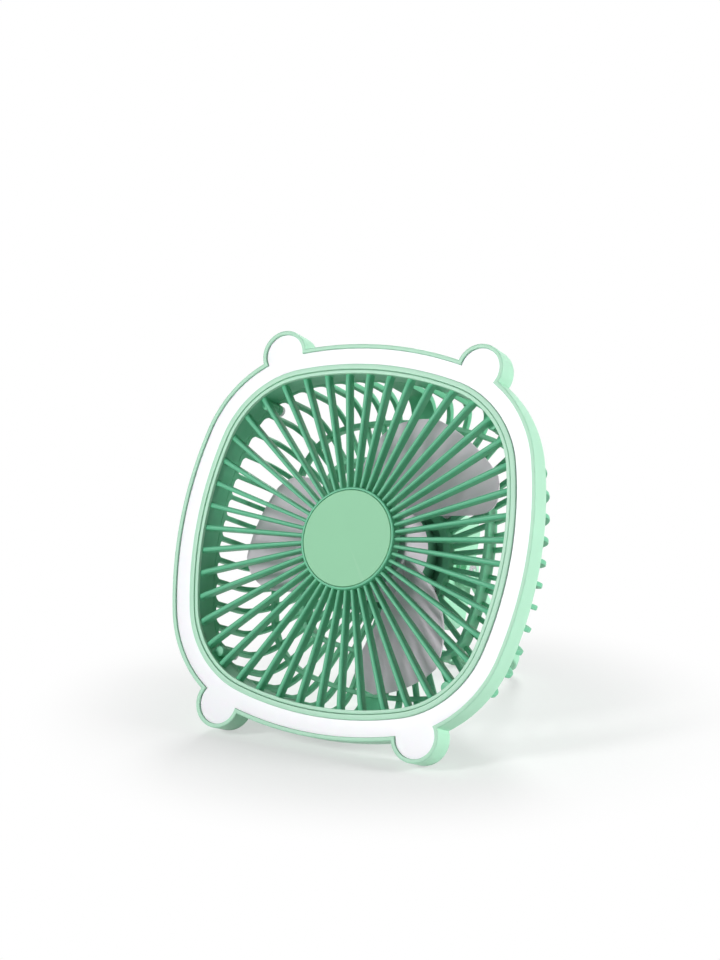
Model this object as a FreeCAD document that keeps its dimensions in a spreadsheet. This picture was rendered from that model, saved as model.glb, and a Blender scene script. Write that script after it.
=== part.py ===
"""Portable camping fan: a round-cornered square face with a ring light and four ears,
a caged three-blade fan, a control box on its back and a bail that props or hangs it.

Everything is drawn in the fan's own frame, in millimetres: X to the right, Y up along
the face, Z out of the face, with the origin where the fan's axis meets the front of the
ring light. The placement then leans the fan back as it stands: +Z up, floor at zero.
"""
import FreeCAD, Part
import math
import os
import re

import Sketcher

os.makedirs("parts", exist_ok=True)

# Driving dimensions in millimetres, degrees and counts.
SIZES = (
    # Outline of the face: four flat arcs joined by four corner arcs, with four ears.
    ("frame_half", 94.0), ("side_arc", 182.0), ("corner_arc", 59.45),
    ("ear_across", 52.8), ("ear_up", 85.7), ("ear_radius", 12.0),
    # Depths of the frame behind and in front of the ring light's face.
    ("frame_back", 14.0), ("lip_front", 1.0), ("back_round", 3.0), ("frame_floor", 2.5),
    # Widths across the frame's channel, from outside to inside.
    ("rim_wall", 2.0), ("light_width", 7.8), ("inner_wall", 2.6), ("ledge_width", 1.0),
    ("ledge_deep", 8.0), ("fit_gap", 0.15),
    # Ring light.
    ("diffuser_thick", 2.0), ("diffuser_skirt", 1.0), ("strip_thick", 1.2),
    ("chip_size", 2.8), ("chip_high", 0.8), ("chip_count", 44),
    # Front grille.
    ("grille_ring", 1.85), ("grille_front", 0.6), ("spoke_count", 45), ("spoke_width", 2.0),
    ("spoke_front", 0.3), ("spoke_back", 5.5), ("dip_width", 5.0), ("dip_deep", 0.7),
    ("hub_radius", 24.5), ("hub_back", 6.0), ("hub_skin", 2.0), ("cap_radius", 23.1),
    ("cap_thick", 1.6), ("cap_gap", 0.15), ("corner_screw", 61.2), ("post_radius", 2.6),
    ("post_rise", 3.0),
    # Rear cage.
    ("cage_inset", 11.4), ("cage_wall", 3.0), ("cage_back", 58.0), ("cage_floor", 3.5),
    ("shoulder", 17.0), ("collar_high", 3.0), ("rib_count", 48), ("rib_width", 2.4),
    ("window_start", 31.0), ("ring_width", 2.4), ("outer_ring_inset", 24.4),
    ("outer_ring_front", 53.0), ("inner_ring_inset", 44.0), ("inner_ring_front", 48.0),
    ("lug_radius", 2.9), ("plate_thick", 2.5), ("wire_hole", 4.0),
    # Motor bracket, standing on a collar in the middle of the cage.
    ("seat_bore", 26.0), ("seat_radius", 29.8), ("seat_front", 50.0), ("cup_radius", 22.5),
    ("cup_front", 38.5), ("cup_wall", 1.5), ("cup_floor", 1.5), ("cup_back", 52.0),
    ("tube_radius", 5.5), ("tube_front", 22.0), ("shelf_radius", 7.0), ("shelf_front", 41.0),
    ("bearing_radius", 4.0), ("bearing_width", 3.0), ("bearing_lip", 0.8),
    ("tab_reach", 28.0), ("tab_radius", 3.2), ("tab_thick", 1.6),
    # Motor.
    ("shaft_radius", 1.5), ("shaft_end", 53.4), ("clip_radius", 2.7), ("clip_thick", 0.5),
    ("groove_deep", 0.4), ("clip_mouth", 1.4), ("running_gap", 0.02), ("stator_front", 23.0),
    ("stator_back", 33.0), ("stator_radius", 19.2), ("tooth_count", 9), ("tooth_width", 3.0),
    ("core_hub", 3.2), ("shoe_thick", 1.8), ("slot_width", 1.8), ("coil_side", 1.5),
    ("coil_end", 1.7), ("coil_start", 4.4), ("coil_stop", 2.4), ("air_gap", 0.6),
    ("magnet_past", 2.0), ("can_wall", 0.9), ("can_short", 0.5), ("driver_radius", 20.4),
    ("driver_thick", 1.0),
    # Rotor with its three blades.
    ("rotor_radius", 24.5), ("rotor_front", 14.0), ("rotor_back", 37.0), ("rotor_skin", 1.6),
    ("blade_count", 3), ("blade_tip", 69.4), ("blade_thick", 1.7),
    ("lead_root", 47.0), ("lead_sweep", 52.0), ("lead_curl", 30.0), ("lead_corner", 13.0),
    ("trail_root", 110.0), ("trail_sweep", 29.0), ("trail_corner", 11.0),
    ("blade_front", 15.0), ("tip_drop", 10.0), ("blade_back", 37.5), ("root_rise", 3.5),
    ("tip_rise", 2.0), ("blade_camber", 0.06), ("blade_sink", 1.2), ("boss_long", 5.0),
    ("boss_wall", 2.5), ("hub_round", 0.8),
    # Control box on the back.
    ("box_across", 53.0), ("box_tall", 58.0), ("box_back", 88.0), ("box_wall", 2.0),
    ("box_corner", 8.0), ("box_round", 2.5), ("box_screw_across", 22.0),
    ("box_screw_up", 24.5), ("box_post", 3.0), ("pilot_deep", 10.0), ("rail_high", 1.4),
    ("rail_width", 2.0), ("rail_apart", 29.76),
    ("board_across", 37.2), ("board_tall", 49.0), ("board_thick", 1.2),
    # Buttons, their switches and the charging socket.
    ("button_across", 9.0), ("button_depth", 78.9), ("button_radius", 4.3),
    ("button_proud", 1.2), ("button_travel", 0.8), ("button_flange", 1.0), ("button_gap", 0.3),
    ("button_soft", 0.6), ("switch_size", 6.0), ("switch_deep", 3.5), ("plunger_radius", 1.6),
    ("plunger_high", 0.8),
    ("socket_across", 11.0), ("socket_width", 8.94), ("socket_high", 3.26),
    ("socket_long", 7.3), ("socket_wall", 0.3), ("socket_gap", 0.2), ("socket_set", 0.4),
    ("tongue_width", 6.7), ("tongue_thick", 0.7), ("tongue_round", 0.3),
    # Battery pouch.
    ("pouch_across", 34.0), ("pouch_tall", 44.0), ("pouch_thick", 11.0), ("pouch_round", 2.0),
    ("tape_across", 28.0), ("tape_tall", 36.0), ("tape_thick", 1.0),
    # Bail handle and its pivots.
    ("pivot_depth", 73.0), ("handle_across", 64.4), ("handle_reach", 90.0),
    ("handle_bar", 3.4), ("handle_width", 6.5), ("handle_corner", 11.0), ("eye_radius", 7.7),
    ("hook_across", 18.0), ("hook_rise", 1.5), ("boss_high", 1.4), ("washer_thick", 0.7),
    ("pin_radius", 2.4), ("pin_head", 4.2), ("pin_head_high", 1.6), ("pin_sink", 1.7),
    ("pin_thread", 1.9), ("pin_past", 0.7), ("nut_across", 7.0), ("nut_thick", 3.0),
    # Screws.
    ("screw_radius", 1.45), ("screw_head", 2.8), ("screw_head_high", 2.0),
    ("screw_tip", 1.0), ("small_screw", 1.0), ("small_head", 2.2), ("small_head_high", 1.6),
    ("box_screw_bite", 8.0), ("motor_screw_bite", 4.0), ("screw_gap", 0.1),
    # How the fan stands: its lean back from upright.
    ("lean", 21.5),
)

NAMES = tuple(name for name, _ in SIZES)
V = FreeCAD.Vector

doc = FreeCAD.newDocument("camping_fan")
sheet = doc.addObject("Spreadsheet::Sheet", "Sizes")
for row, (size_name, number) in enumerate(SIZES, start=1):
    sheet.set(f"A{row}", size_name)
    sheet.set(f"B{row}", str(number))
    sheet.setAlias(f"B{row}", size_name)
doc.recompute()

# Expressions shared by several pieces, written in the sheet's own names.
DIFFUSER_OUT = "rim_wall + fit_gap"
LIGHT_IN = "(rim_wall + light_width)"
OPENING = "(rim_wall + light_width + inner_wall)"
GRILLE_OUT = f"({OPENING} + fit_gap)"
GRILLE_IN = f"({OPENING} + fit_gap + grille_ring)"
FLOOR = "(frame_back - frame_floor)"
CAGE_IN = "(cage_inset + cage_wall)"
COLLAR_BACK = "(frame_back + collar_high)"
PLATE_FRONT = "(cage_back - plate_thick)"
CAN_OUT = "(rotor_radius - rotor_skin - screw_gap / 2)"
BOSS_OUT = "(shaft_radius + boss_wall)"
MAGNET_IN = "(stator_radius + air_gap)"
BOX_INNER_BACK = "(box_back - box_wall)"
BOARD_BACK = f"({BOX_INNER_BACK} - rail_high)"
BOARD_FRONT = f"({BOARD_BACK} - board_thick)"
WALL_TOP = "(box_tall / 2)"
WALL_INSIDE = "(box_tall / 2 - box_wall)"
WALL_SIDE = "(box_across / 2 - box_wall)"
FLANGE_LOW = f"({WALL_INSIDE} - button_gap - button_flange)"
SWITCH_FACE = f"({FLANGE_LOW} - button_travel - plunger_high - screw_gap)"
HANDLE_INNER = "(handle_across / 2 - handle_bar)"
PIN_SEAT = "(handle_across / 2 - pin_sink)"
BOSS_END = "(box_across / 2 + boss_high)"


def full(text):
    """The expression with every size written as a cell of the sheet."""
    return re.sub(r"[a-z_]{3,}", lambda m: f"Sizes.{m[0]}" if m[0] in NAMES else m[0], text)


def value(text):
    """The number that an expression gives now."""
    return float(sheet.evalExpression(full(str(text))))


def bind(thing, prop, text):
    thing.setExpression(prop, full(str(text)))


def new_body(label):
    body = doc.addObject("PartDesign::Body", label)
    body.Label = label
    return body


def origin_plane(body, role):
    return [item for item in body.Origin.OriginFeatures if item.Role == role][0]


def new_sketch(body, name, role="XY_Plane", offset="0", turn=0.0):
    """A sketch on one of the body's own planes, moved along that plane's normal."""
    sketch = body.newObject("Sketcher::SketchObject", name)
    sketch.AttachmentSupport = (origin_plane(body, role), [""])
    sketch.MapMode = "FlatFace"
    sketch.AttachmentOffset = FreeCAD.Placement(V(0, 0, value(offset)),
                                                FreeCAD.Rotation(V(0, 0, 1), turn))
    bind(sketch, "AttachmentOffset.Base.z", offset)
    return sketch


def dimension(sketch, kind, text, *places):
    """A driving dimension of the sketch, tied to the sheet."""
    index = sketch.addConstraint(Sketcher.Constraint(kind, *places, value(text)))
    bind(sketch, f"Constraints[{index}]", text)


def pin_point(sketch, geometry, place, across, up):
    """Hold one point of the sketch at a place given from the origin."""
    for kind, text, axis in (("DistanceX", across, -2), ("DistanceY", up, -1)):
        if str(text) == "0":
            sketch.addConstraint(Sketcher.Constraint("PointOnObject", geometry, place, axis))
        else:
            dimension(sketch, kind, text, -1, 1, geometry, place)


def polygon(sketch, points):
    """A closed outline through points, each a pair of expressions."""
    spots = [V(value(across), value(up), 0) for across, up in points]
    first = None
    for index, spot in enumerate(spots):
        following = spots[(index + 1) % len(spots)]
        line = sketch.addGeometry(Part.LineSegment(spot, following), False)
        first = line if first is None else first
        pin_point(sketch, line, 1, *points[index])
        if line > first:
            sketch.addConstraint(Sketcher.Constraint("Coincident", line - 1, 2, line, 1))
    sketch.addConstraint(Sketcher.Constraint("Coincident", line, 2, first, 1))


def rectangle(sketch, left, right, low, high):
    polygon(sketch, ((left, low), (right, low), (right, high), (left, high)))


def circle(sketch, radius, across="0", up="0"):
    ring = Part.Circle(V(value(across), value(up), 0), V(0, 0, 1), value(radius))
    index = sketch.addGeometry(ring, False)
    pin_point(sketch, index, 3, across, up)
    dimension(sketch, "Radius", radius, index)


def face_outline(sketch, inset):
    """The face's rounded square, drawn parallel to its outside and that far inside it."""
    side = value(f"side_arc - {inset}")
    corner = value(f"corner_arc - {inset}")
    reach = value("side_arc - frame_half")
    spread = side - corner
    centre = (math.sqrt(2 * spread ** 2 - reach ** 2) - reach) / 2
    half_turn = math.atan2(centre, centre + reach)
    arcs = []
    for quarter in range(4):
        start = quarter * math.pi / 2
        spin = FreeCAD.Rotation(V(0, 0, 1), 90 * quarter)
        for place, radius, low, high in (
                (V(-reach, 0, 0), side, -half_turn, half_turn),
                (V(centre, centre, 0), corner, half_turn, math.pi / 2 - half_turn)):
            shape = Part.Circle(spin.multVec(place), V(0, 0, 1), radius)
            arcs.append(sketch.addGeometry(Part.ArcOfCircle(shape, start + low, start + high)))
    for index, arc in enumerate(arcs):
        following = arcs[(index + 1) % len(arcs)]
        sketch.addConstraint(Sketcher.Constraint("Tangent", arc, 2, following, 1))
    for quarter in range(4):
        flat = arcs[2 * quarter]
        axis = -1 if quarter % 2 == 0 else -2
        sketch.addConstraint(Sketcher.Constraint("PointOnObject", flat, 3, axis))
        dimension(sketch, "Distance", "side_arc - frame_half", flat, 3, -1, 1)
        dimension(sketch, "Radius", f"side_arc - {inset}", flat)
        dimension(sketch, "Radius", f"corner_arc - {inset}", arcs[2 * quarter + 1])


def four_circles(sketch, radius, across, up):
    for side in ("", "-"):
        for height in ("", "-"):
            circle(sketch, radius, f"{side}({across})", f"{height}({up})")


def pad(body, sketch, length, midplane=False):
    feature = body.newObject("PartDesign::Pad", f"{sketch.Name}_pad")
    feature.Profile = sketch
    feature.Midplane = midplane
    bind(feature, "Length", length)
    return feature


def pocket(body, sketch, length=None):
    """A cut against the sketch's normal, to a depth or right through."""
    feature = body.newObject("PartDesign::Pocket", f"{sketch.Name}_cut")
    feature.Profile = sketch
    if length is None:
        feature.Type = "ThroughAll"
    else:
        bind(feature, "Length", length)
    return feature


def slab(body, name, draw, front, back):
    """Material between two depths behind the face, from what draw puts in a sketch."""
    sketch = new_sketch(body, name, offset=f"-({back})")
    draw(sketch)
    return pad(body, sketch, f"({back}) - ({front})")


def cut(body, name, draw, front, back):
    """A cut between two depths behind the face."""
    sketch = new_sketch(body, name, offset=f"-({front})")
    draw(sketch)
    before = body.Tip.Shape.Volume if body.Tip and not body.Tip.Shape.isNull() else 0
    feature = pocket(body, sketch, f"({back}) - ({front})")
    doc.recompute()
    if before and feature.Shape.Volume > before - 1e-6:
        raise RuntimeError(f"{name} cuts nothing")
    return feature


def revolve(body, name, points):
    """A turned piece about the fan's axis, from pairs of radius and place along Z."""
    sketch = new_sketch(body, name, role="XZ_Plane")
    polygon(sketch, points)
    feature = body.newObject("PartDesign::Revolution", f"{name}_turn")
    feature.Profile = sketch
    feature.ReferenceAxis = (sketch, ["V_Axis"])
    feature.Angle = 360.0
    return feature


def pattern(body, features, count, angle="360"):
    feature = body.newObject("PartDesign::PolarPattern", f"{features[0].Name}_ring")
    feature.Originals = features
    feature.Axis = (origin_plane(body, "Z_Axis"), [""])
    bind(feature, "Angle", angle)
    bind(feature, "Occurrences", count)
    body.Tip = feature
    return feature


def round_edges(body, name, chosen, radius):
    """Round the edges of the body's last shape for which chosen(edge) is true."""
    doc.recompute()
    base = body.Tip
    names = [f"Edge{i + 1}" for i, edge in enumerate(base.Shape.Edges) if chosen(edge)]
    if not names:
        raise RuntimeError(f"{name} found no edge")
    feature = body.newObject("PartDesign::Fillet", name)
    feature.Base = (base, names)
    bind(feature, "Radius", radius)
    return feature


def edge_at_depth(edge, depth):
    """Whether an edge lies flat at a depth behind the face."""
    box = edge.BoundBox
    return abs(box.ZMax + depth) < 1e-4 and abs(box.ZMin + depth) < 1e-4


def primitive(kind, name, place, axis_turn=None, **sizes):
    """A Part primitive whose sizes and place are expressions."""
    thing = doc.addObject(kind, name)
    for prop, text in sizes.items():
        bind(thing, prop, text)
    for letter, text in zip("xyz", place):
        bind(thing, f"Placement.Base.{letter}", text)
    if axis_turn is not None:
        spot = thing.Placement.Base
        thing.Placement = FreeCAD.Placement(spot, axis_turn)
    return thing


def boolean(kind, name, base, tool):
    thing = doc.addObject(kind, name)
    thing.Base = base
    thing.Tool = tool
    return thing


def group(label, pieces):
    """Identical loose pieces that share one node."""
    thing = doc.addObject("Part::Compound", label)
    thing.Label = label
    thing.Links = pieces
    return thing


# Where the fan stands: its lower ears and the end of its bail on the floor at zero.
FACE_HIGH = ("((ear_up + ear_radius - back_round) * cos(lean)"
             " + (frame_back - back_round) * sin(lean) + back_round)")
PIVOT_HIGH = f"({FACE_HIGH} - pivot_depth * sin(lean))"
BAR_ROUND = "(handle_bar / 3)"
TIP_LONG = f"(handle_reach + hook_rise - {BAR_ROUND})"
TIP_SIDE = f"(handle_width / 2 - {BAR_ROUND})"
PROP_ANGLE = (f"(asin(({PIVOT_HIGH} - {BAR_ROUND}) / sqrt({TIP_LONG} ^ 2 + {TIP_SIDE} ^ 2))"
              f" - atan({TIP_SIDE} / {TIP_LONG}))")
FRONT_REACH = "((ear_up + ear_radius) * sin(lean) + lip_front * cos(lean))"
BACK_REACH = (f"(pivot_depth * cos(lean) + {TIP_LONG} * cos({PROP_ANGLE})"
              f" + {TIP_SIDE} * sin({PROP_ANGLE}) + {BAR_ROUND})")
FACE_ALONG = f"(({FRONT_REACH} - {BACK_REACH}) / 2)"


def stand(thing, along=FACE_ALONG, high=FACE_HIGH, turn="90 - lean"):
    """Lean a finished piece back into the standing fan."""
    thing.Placement = FreeCAD.Placement(V(0, 0, 0), FreeCAD.Rotation(V(1, 0, 0), value(turn)))
    bind(thing, "Placement.Base.y", along)
    bind(thing, "Placement.Base.z", high)
    bind(thing, "Placement.Rotation.Angle", turn)
    return thing


def front_frame():
    """The moulded housing: a channel for the ring light round the grille's opening."""
    body = new_body("front_frame")
    slab(body, "frame_outside", lambda s: face_outline(s, "0"), "-lip_front", "frame_back")
    slab(body, "frame_ears", lambda s: four_circles(s, "ear_radius", "ear_across", "ear_up"),
         "-lip_front", "frame_back")
    depth = value("frame_back")
    round_edges(body, "frame_back_round", lambda e: edge_at_depth(e, depth), "back_round")
    cut(body, "frame_channel", lambda s: face_outline(s, "rim_wall"), "-lip_front", FLOOR)
    cut(body, "ear_channel",
        lambda s: four_circles(s, "ear_radius - rim_wall", "ear_across", "ear_up"),
        "-lip_front", FLOOR)

    def wall(sketch):
        face_outline(sketch, LIGHT_IN)
        face_outline(sketch, f"({OPENING} + ledge_width)")
    slab(body, "frame_wall", wall, "-lip_front", "frame_back")
    cut(body, "frame_opening", lambda s: face_outline(s, f"({OPENING} + ledge_width)"),
        "-lip_front", "frame_back")
    cut(body, "frame_ledge", lambda s: face_outline(s, OPENING), "-lip_front", "ledge_deep")
    return body


def light_diffuser():
    """The milky cover of the ring light, a channel section open to the back."""
    body = new_body("light_diffuser")
    slab(body, "diffuser_outside", lambda s: face_outline(s, f"({DIFFUSER_OUT})"), "0", FLOOR)
    slab(body, "diffuser_ears",
         lambda s: four_circles(s, f"ear_radius - {DIFFUSER_OUT}".replace("+", "-"),
                                "ear_across", "ear_up"), "0", FLOOR)

    def hollow(sketch):
        face_outline(sketch, f"({DIFFUSER_OUT} + diffuser_skirt)")
        face_outline(sketch, f"({LIGHT_IN} - fit_gap - diffuser_skirt)")
    sketch = new_sketch(body, "diffuser_hollow", offset=f"-({FLOOR})")
    hollow(sketch)
    feature = pocket(body, sketch, f"{FLOOR} - diffuser_thick")
    feature.Reversed = True
    opening = new_sketch(body, "diffuser_opening")
    face_outline(opening, f"({LIGHT_IN} - fit_gap)")
    pocket(body, opening)
    return body


def light_strip():
    """The ring-shaped circuit board on the channel's floor."""
    body = new_body("light_strip")

    def strip(sketch):
        face_outline(sketch, f"({DIFFUSER_OUT} + diffuser_skirt + fit_gap)")
        face_outline(sketch, f"({LIGHT_IN} - 2 * fit_gap - diffuser_skirt)")
    slab(body, "strip", strip, f"{FLOOR} - strip_thick", FLOOR)
    return body


def light_chips():
    """The row of small lamps on the strip, spaced evenly by angle along its middle."""
    middle = value(f"({DIFFUSER_OUT} + {LIGHT_IN}) / 2")
    side = value("side_arc") - middle
    corner = value("corner_arc") - middle
    reach = value("side_arc - frame_half")
    spread = side - corner
    centre = (math.sqrt(2 * spread ** 2 - reach ** 2) - reach) / 2
    half_turn = math.atan2(centre, centre + reach)
    size = value("chip_size")
    count = int(value("chip_count"))
    chips = []
    for index in range(count):
        angle = 2 * math.pi * (index + 0.5) / count
        off = (angle + math.pi / 4) % (math.pi / 2) - math.pi / 4
        radius = math.sqrt(side ** 2 - (reach * math.sin(off)) ** 2) - reach * math.cos(off)
        tilt = math.pi / 4 - abs(off)
        diagonal = math.hypot(centre, centre)
        bend = math.sqrt(corner ** 2 - (diagonal * math.sin(tilt)) ** 2)
        if abs(radius * math.sin(off)) > side * math.sin(half_turn):
            radius = diagonal * math.cos(tilt) + bend
        chip = Part.makeBox(size, size, value("chip_high"), V(-size / 2, -size / 2, 0))
        chip.Placement = FreeCAD.Placement(
            V(radius * math.cos(angle), radius * math.sin(angle), -value(f"{FLOOR} - strip_thick")),
            FreeCAD.Rotation(V(0, 0, 1), math.degrees(angle)))
        chips.append(chip)
    feature = doc.addObject("Part::Feature", "light_chips")
    feature.Label = "light_chips"
    feature.Shape = Part.makeCompound(chips)
    return feature


def front_grille():
    """Radial spokes from a hub disc to a ring, with a skirt and four screw posts behind it."""
    body = new_body("front_grille")
    slab(body, "hub_disc", lambda s: circle(s, "hub_radius"), "-lip_front", "hub_back")
    spoke = new_sketch(body, "spoke", role="XZ_Plane", offset="hub_radius - 1")
    half = value("spoke_width / 2")
    low, high = -value("spoke_back"), -value("spoke_front") - half
    spoke.addGeometry(Part.LineSegment(V(-half, high, 0), V(-half, low, 0)), False)
    spoke.addGeometry(Part.LineSegment(V(-half, low, 0), V(half, low, 0)), False)
    spoke.addGeometry(Part.LineSegment(V(half, low, 0), V(half, high, 0)), False)
    nose = Part.Circle(V(0, high, 0), V(0, 0, 1), half)
    spoke.addGeometry(Part.ArcOfCircle(nose, 0, math.pi), False)
    for line, end, following, start in ((0, 2, 1, 1), (1, 2, 2, 1), (2, 2, 3, 1), (3, 2, 0, 1)):
        spoke.addConstraint(Sketcher.Constraint("Coincident", line, end, following, start))
    spoke.addConstraint(Sketcher.Constraint("Vertical", 0))
    spoke.addConstraint(Sketcher.Constraint("Vertical", 2))
    spoke.addConstraint(Sketcher.Constraint("Horizontal", 1))
    spoke.addConstraint(Sketcher.Constraint("PointOnObject", 3, 3, -2))
    dimension(spoke, "Radius", "spoke_width / 2", 3)
    dimension(spoke, "DistanceY", "-(spoke_front + spoke_width / 2)", -1, 1, 3, 3)
    dimension(spoke, "DistanceY", "-spoke_back", -1, 1, 1, 1)
    spoke.addConstraint(Sketcher.Constraint("Horizontal", 3, 3, 3, 1))
    bar = pad(body, spoke, "frame_half")
    doc.recompute()
    pattern(body, [bar], "spoke_count")

    def beyond(sketch):
        face_outline(sketch, f"({GRILLE_IN} - 1)")
        circle(sketch, "2 * frame_half")
    cut(body, "spoke_ends", beyond, "-lip_front", "frame_back")

    def dip(sketch):
        face_outline(sketch, f"({GRILLE_IN} + dip_width)")
        circle(sketch, "2 * frame_half")
    slope = cut(body, "spoke_dip", dip, "spoke_front", "spoke_front + dip_deep")
    bind(slope, "TaperAngle", "atan(dip_width / dip_deep)")

    def ring(sketch):
        face_outline(sketch, GRILLE_OUT)
        face_outline(sketch, GRILLE_IN)
    slab(body, "grille_rim", ring, "-grille_front", "ledge_deep")

    def skirt(sketch):
        face_outline(sketch, f"({OPENING} + ledge_width + fit_gap)")
        face_outline(sketch, GRILLE_IN)
    slab(body, "grille_skirt", skirt, "ledge_deep", "frame_back - fit_gap")
    slab(body, "posts", lambda s: four_circles(s, "post_radius", "corner_screw", "corner_screw"),
         "ledge_deep - post_rise", "frame_back")
    cut(body, "cap_seat", lambda s: circle(s, "cap_radius + cap_gap"),
        "-lip_front", "cap_thick - lip_front")
    hollow = new_sketch(body, "hub_hollow", offset="-hub_back")
    circle(hollow, "hub_radius - hub_skin")
    pocket(body, hollow, "hub_back - hub_skin - cap_thick + lip_front").Reversed = True
    holes = new_sketch(body, "post_holes", offset="-frame_back")
    four_circles(holes, "screw_radius + screw_gap / 2", "corner_screw", "corner_screw")
    pocket(body, holes, "frame_back - ledge_deep + post_rise - screw_tip").Reversed = True
    return body


def grille_centre_cap():
    """The flat disc let into the middle of the grille."""
    body = new_body("grille_centre_cap")
    slab(body, "cap_disc", lambda s: circle(s, "cap_radius"), "-lip_front",
         "cap_thick - lip_front")
    return body


def rounded(sketch, half_across, half_up, corner, across="0", up="0"):
    """A rectangle with round corners about a centre."""
    wide = value(f"{half_across} - {corner}")
    tall = value(f"{half_up} - {corner}")
    radius = value(corner)
    middle = V(value(across), value(up), 0)
    corners = ((wide, -tall), (wide, tall), (-wide, tall), (-wide, -tall))
    pieces = []
    for index, (x, y) in enumerate(corners):
        next_x, next_y = corners[(index + 1) % 4]
        start = (index - 1) * math.pi / 2
        out = V(math.cos(start + math.pi / 2), math.sin(start + math.pi / 2), 0) * radius
        round_end = Part.Circle(middle + V(x, y, 0), V(0, 0, 1), radius)
        pieces.append(sketch.addGeometry(Part.ArcOfCircle(round_end, start, start + math.pi / 2)))
        pieces.append(sketch.addGeometry(Part.LineSegment(middle + V(x, y, 0) + out,
                                                          middle + V(next_x, next_y, 0) + out)))
    for index, piece in enumerate(pieces):
        following = pieces[(index + 1) % 8]
        sketch.addConstraint(Sketcher.Constraint("Tangent", piece, 2, following, 1))
    for index, (side, height) in enumerate((("", "-"), ("", ""), ("-", ""), ("-", "-"))):
        arc = pieces[2 * index]
        dimension(sketch, "Radius", corner, arc)
        pin_point(sketch, arc, 3, f"{across} + {side}1 * ({half_across} - {corner})",
                  f"{up} + {height}1 * ({half_up} - {corner})")


def box_outline(sketch, inset="0"):
    rounded(sketch, f"(box_across / 2 - {inset})", f"(box_tall / 2 - {inset})",
            f"(box_corner - {inset})")


def rear_cage():
    """A rounded tray cut into ribs that bend over its shoulder and run in to its middle."""
    body = new_body("rear_cage")
    slab(body, "cage_outside", lambda s: face_outline(s, "cage_inset"), "frame_back", "cage_back")
    cut(body, "cage_inside", lambda s: face_outline(s, CAGE_IN), "frame_back",
        "cage_back - cage_floor")
    inner = value("cage_back - cage_floor")
    round_edges(body, "cage_inner_shoulder", lambda e: edge_at_depth(e, inner),
                "shoulder - cage_wall")
    outer = value("cage_back")
    round_edges(body, "cage_shoulder", lambda e: edge_at_depth(e, outer), "shoulder")

    def seat(sketch):
        circle(sketch, "seat_radius")
        circle(sketch, "seat_bore")
    slab(body, "motor_seat", seat, "seat_front", PLATE_FRONT)
    slab(body, "lugs", lambda s: four_circles(s, "lug_radius", "corner_screw", "corner_screw"),
         "frame_back", COLLAR_BACK)
    cut(body, "plate_floor", lambda s: circle(s, "seat_bore - 1"), "seat_front", PLATE_FRONT)
    cut(body, "wire_way", lambda s: circle(s, "wire_hole"), PLATE_FRONT, "cage_back")
    cut(body, "lug_holes",
        lambda s: four_circles(s, "screw_radius + screw_gap", "corner_screw", "corner_screw"),
        "frame_back", COLLAR_BACK)
    cut(body, "seat_holes", lambda s: three_circles(s, "small_screw + screw_gap / 2", "tab_reach"),
        "seat_front", PLATE_FRONT)
    window = new_sketch(body, "window", offset=f"-{COLLAR_BACK}", turn=90 + 360 / value("rib_count"))
    bind(window, "AttachmentOffset.Rotation.Angle", "90 + 360 / rib_count")
    far = "(2 * frame_half)"
    slope = "tan(180 / rib_count)"
    edge = "rib_width / (2 * cos(180 / rib_count))"
    near_half = f"(window_start * {slope} - {edge})"
    far_half = f"({far} * {slope} - {edge})"
    for side in ("", "-"):
        polygon(window, ((f"{side}window_start", f"-{near_half}"), (f"{side}{far}", f"-{far_half}"),
                         (f"{side}{far}", far_half), (f"{side}window_start", near_half)))
    opening = pocket(body, window, f"cage_back + 1 - {COLLAR_BACK}")
    doc.recompute()
    pattern(body, [opening], "rib_count / 2 - 1", "180 - 720 / rib_count").Refine = False

    def ring(inset):
        def draw(sketch):
            face_outline(sketch, inset)
            face_outline(sketch, f"({inset} + ring_width)")
        return draw
    slab(body, "outer_ring", ring("outer_ring_inset"), "outer_ring_front",
         "cage_back").Refine = False
    slab(body, "inner_ring", ring("inner_ring_inset"), "inner_ring_front",
         "cage_back").Refine = False
    slab(body, "plate", box_outline, PLATE_FRONT, "cage_back").Refine = False
    for name, radius, front, back in (
            ("head_seats", "small_head + screw_gap", "cage_back - cage_floor", PLATE_FRONT),
            ("plate_holes", "small_screw + screw_gap", PLATE_FRONT, "cage_back")):
        sketch = new_sketch(body, name, offset=f"-({front})")
        four_circles(sketch, radius, "box_screw_across", "box_screw_up")
        pocket(body, sketch, f"({back}) - ({front})").Refine = False
    return body


def three_circles(sketch, radius, reach):
    """Three circles a third of a turn apart, the first at the top."""
    circle(sketch, radius, "0", reach)
    circle(sketch, radius, f"{reach} * cos(210)", f"{reach} * sin(210)")
    circle(sketch, radius, f"{reach} * cos(330)", f"{reach} * sin(330)")


def screw(name, place, head, head_high, shank, long):
    """A pan-head screw driven forward, its head's seat at the place given."""
    across, up, depth = place
    top = primitive("Part::Cylinder", f"{name}_head", (across, up, f"-({depth}) - {head_high}"),
                    Radius=head, Height=head_high)
    body = primitive("Part::Cylinder", f"{name}_shank", (across, up, f"-({depth})"),
                     Radius=shank, Height=long)
    return boolean("Part::Fuse", name, top, body)


def cage_screws():
    """The four screws that clamp the frame between cage and grille."""
    pieces = []
    for side in ("", "-"):
        for height in ("", "-"):
            pieces.append(screw(f"cage_screw_{len(pieces) + 1}",
                                (f"{side}corner_screw", f"{height}corner_screw", COLLAR_BACK),
                                "screw_head", "screw_head_high", "screw_radius",
                                "collar_high + ledge_deep - screw_tip"))
    return group("cage_screws", pieces)


def small_screw(name, across, up, front, long):
    """A small screw driven backward, its head's seat at a depth behind the face."""
    shank = primitive("Part::Cylinder", f"{name}_shank", (across, up, f"-({front} + {long})"),
                      Radius="small_screw", Height=long)
    head = primitive("Part::Cylinder", f"{name}_head", (across, up, f"-({front})"),
                     Radius="small_head", Height="small_head_high")
    return boolean("Part::Fuse", name, shank, head)


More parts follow.
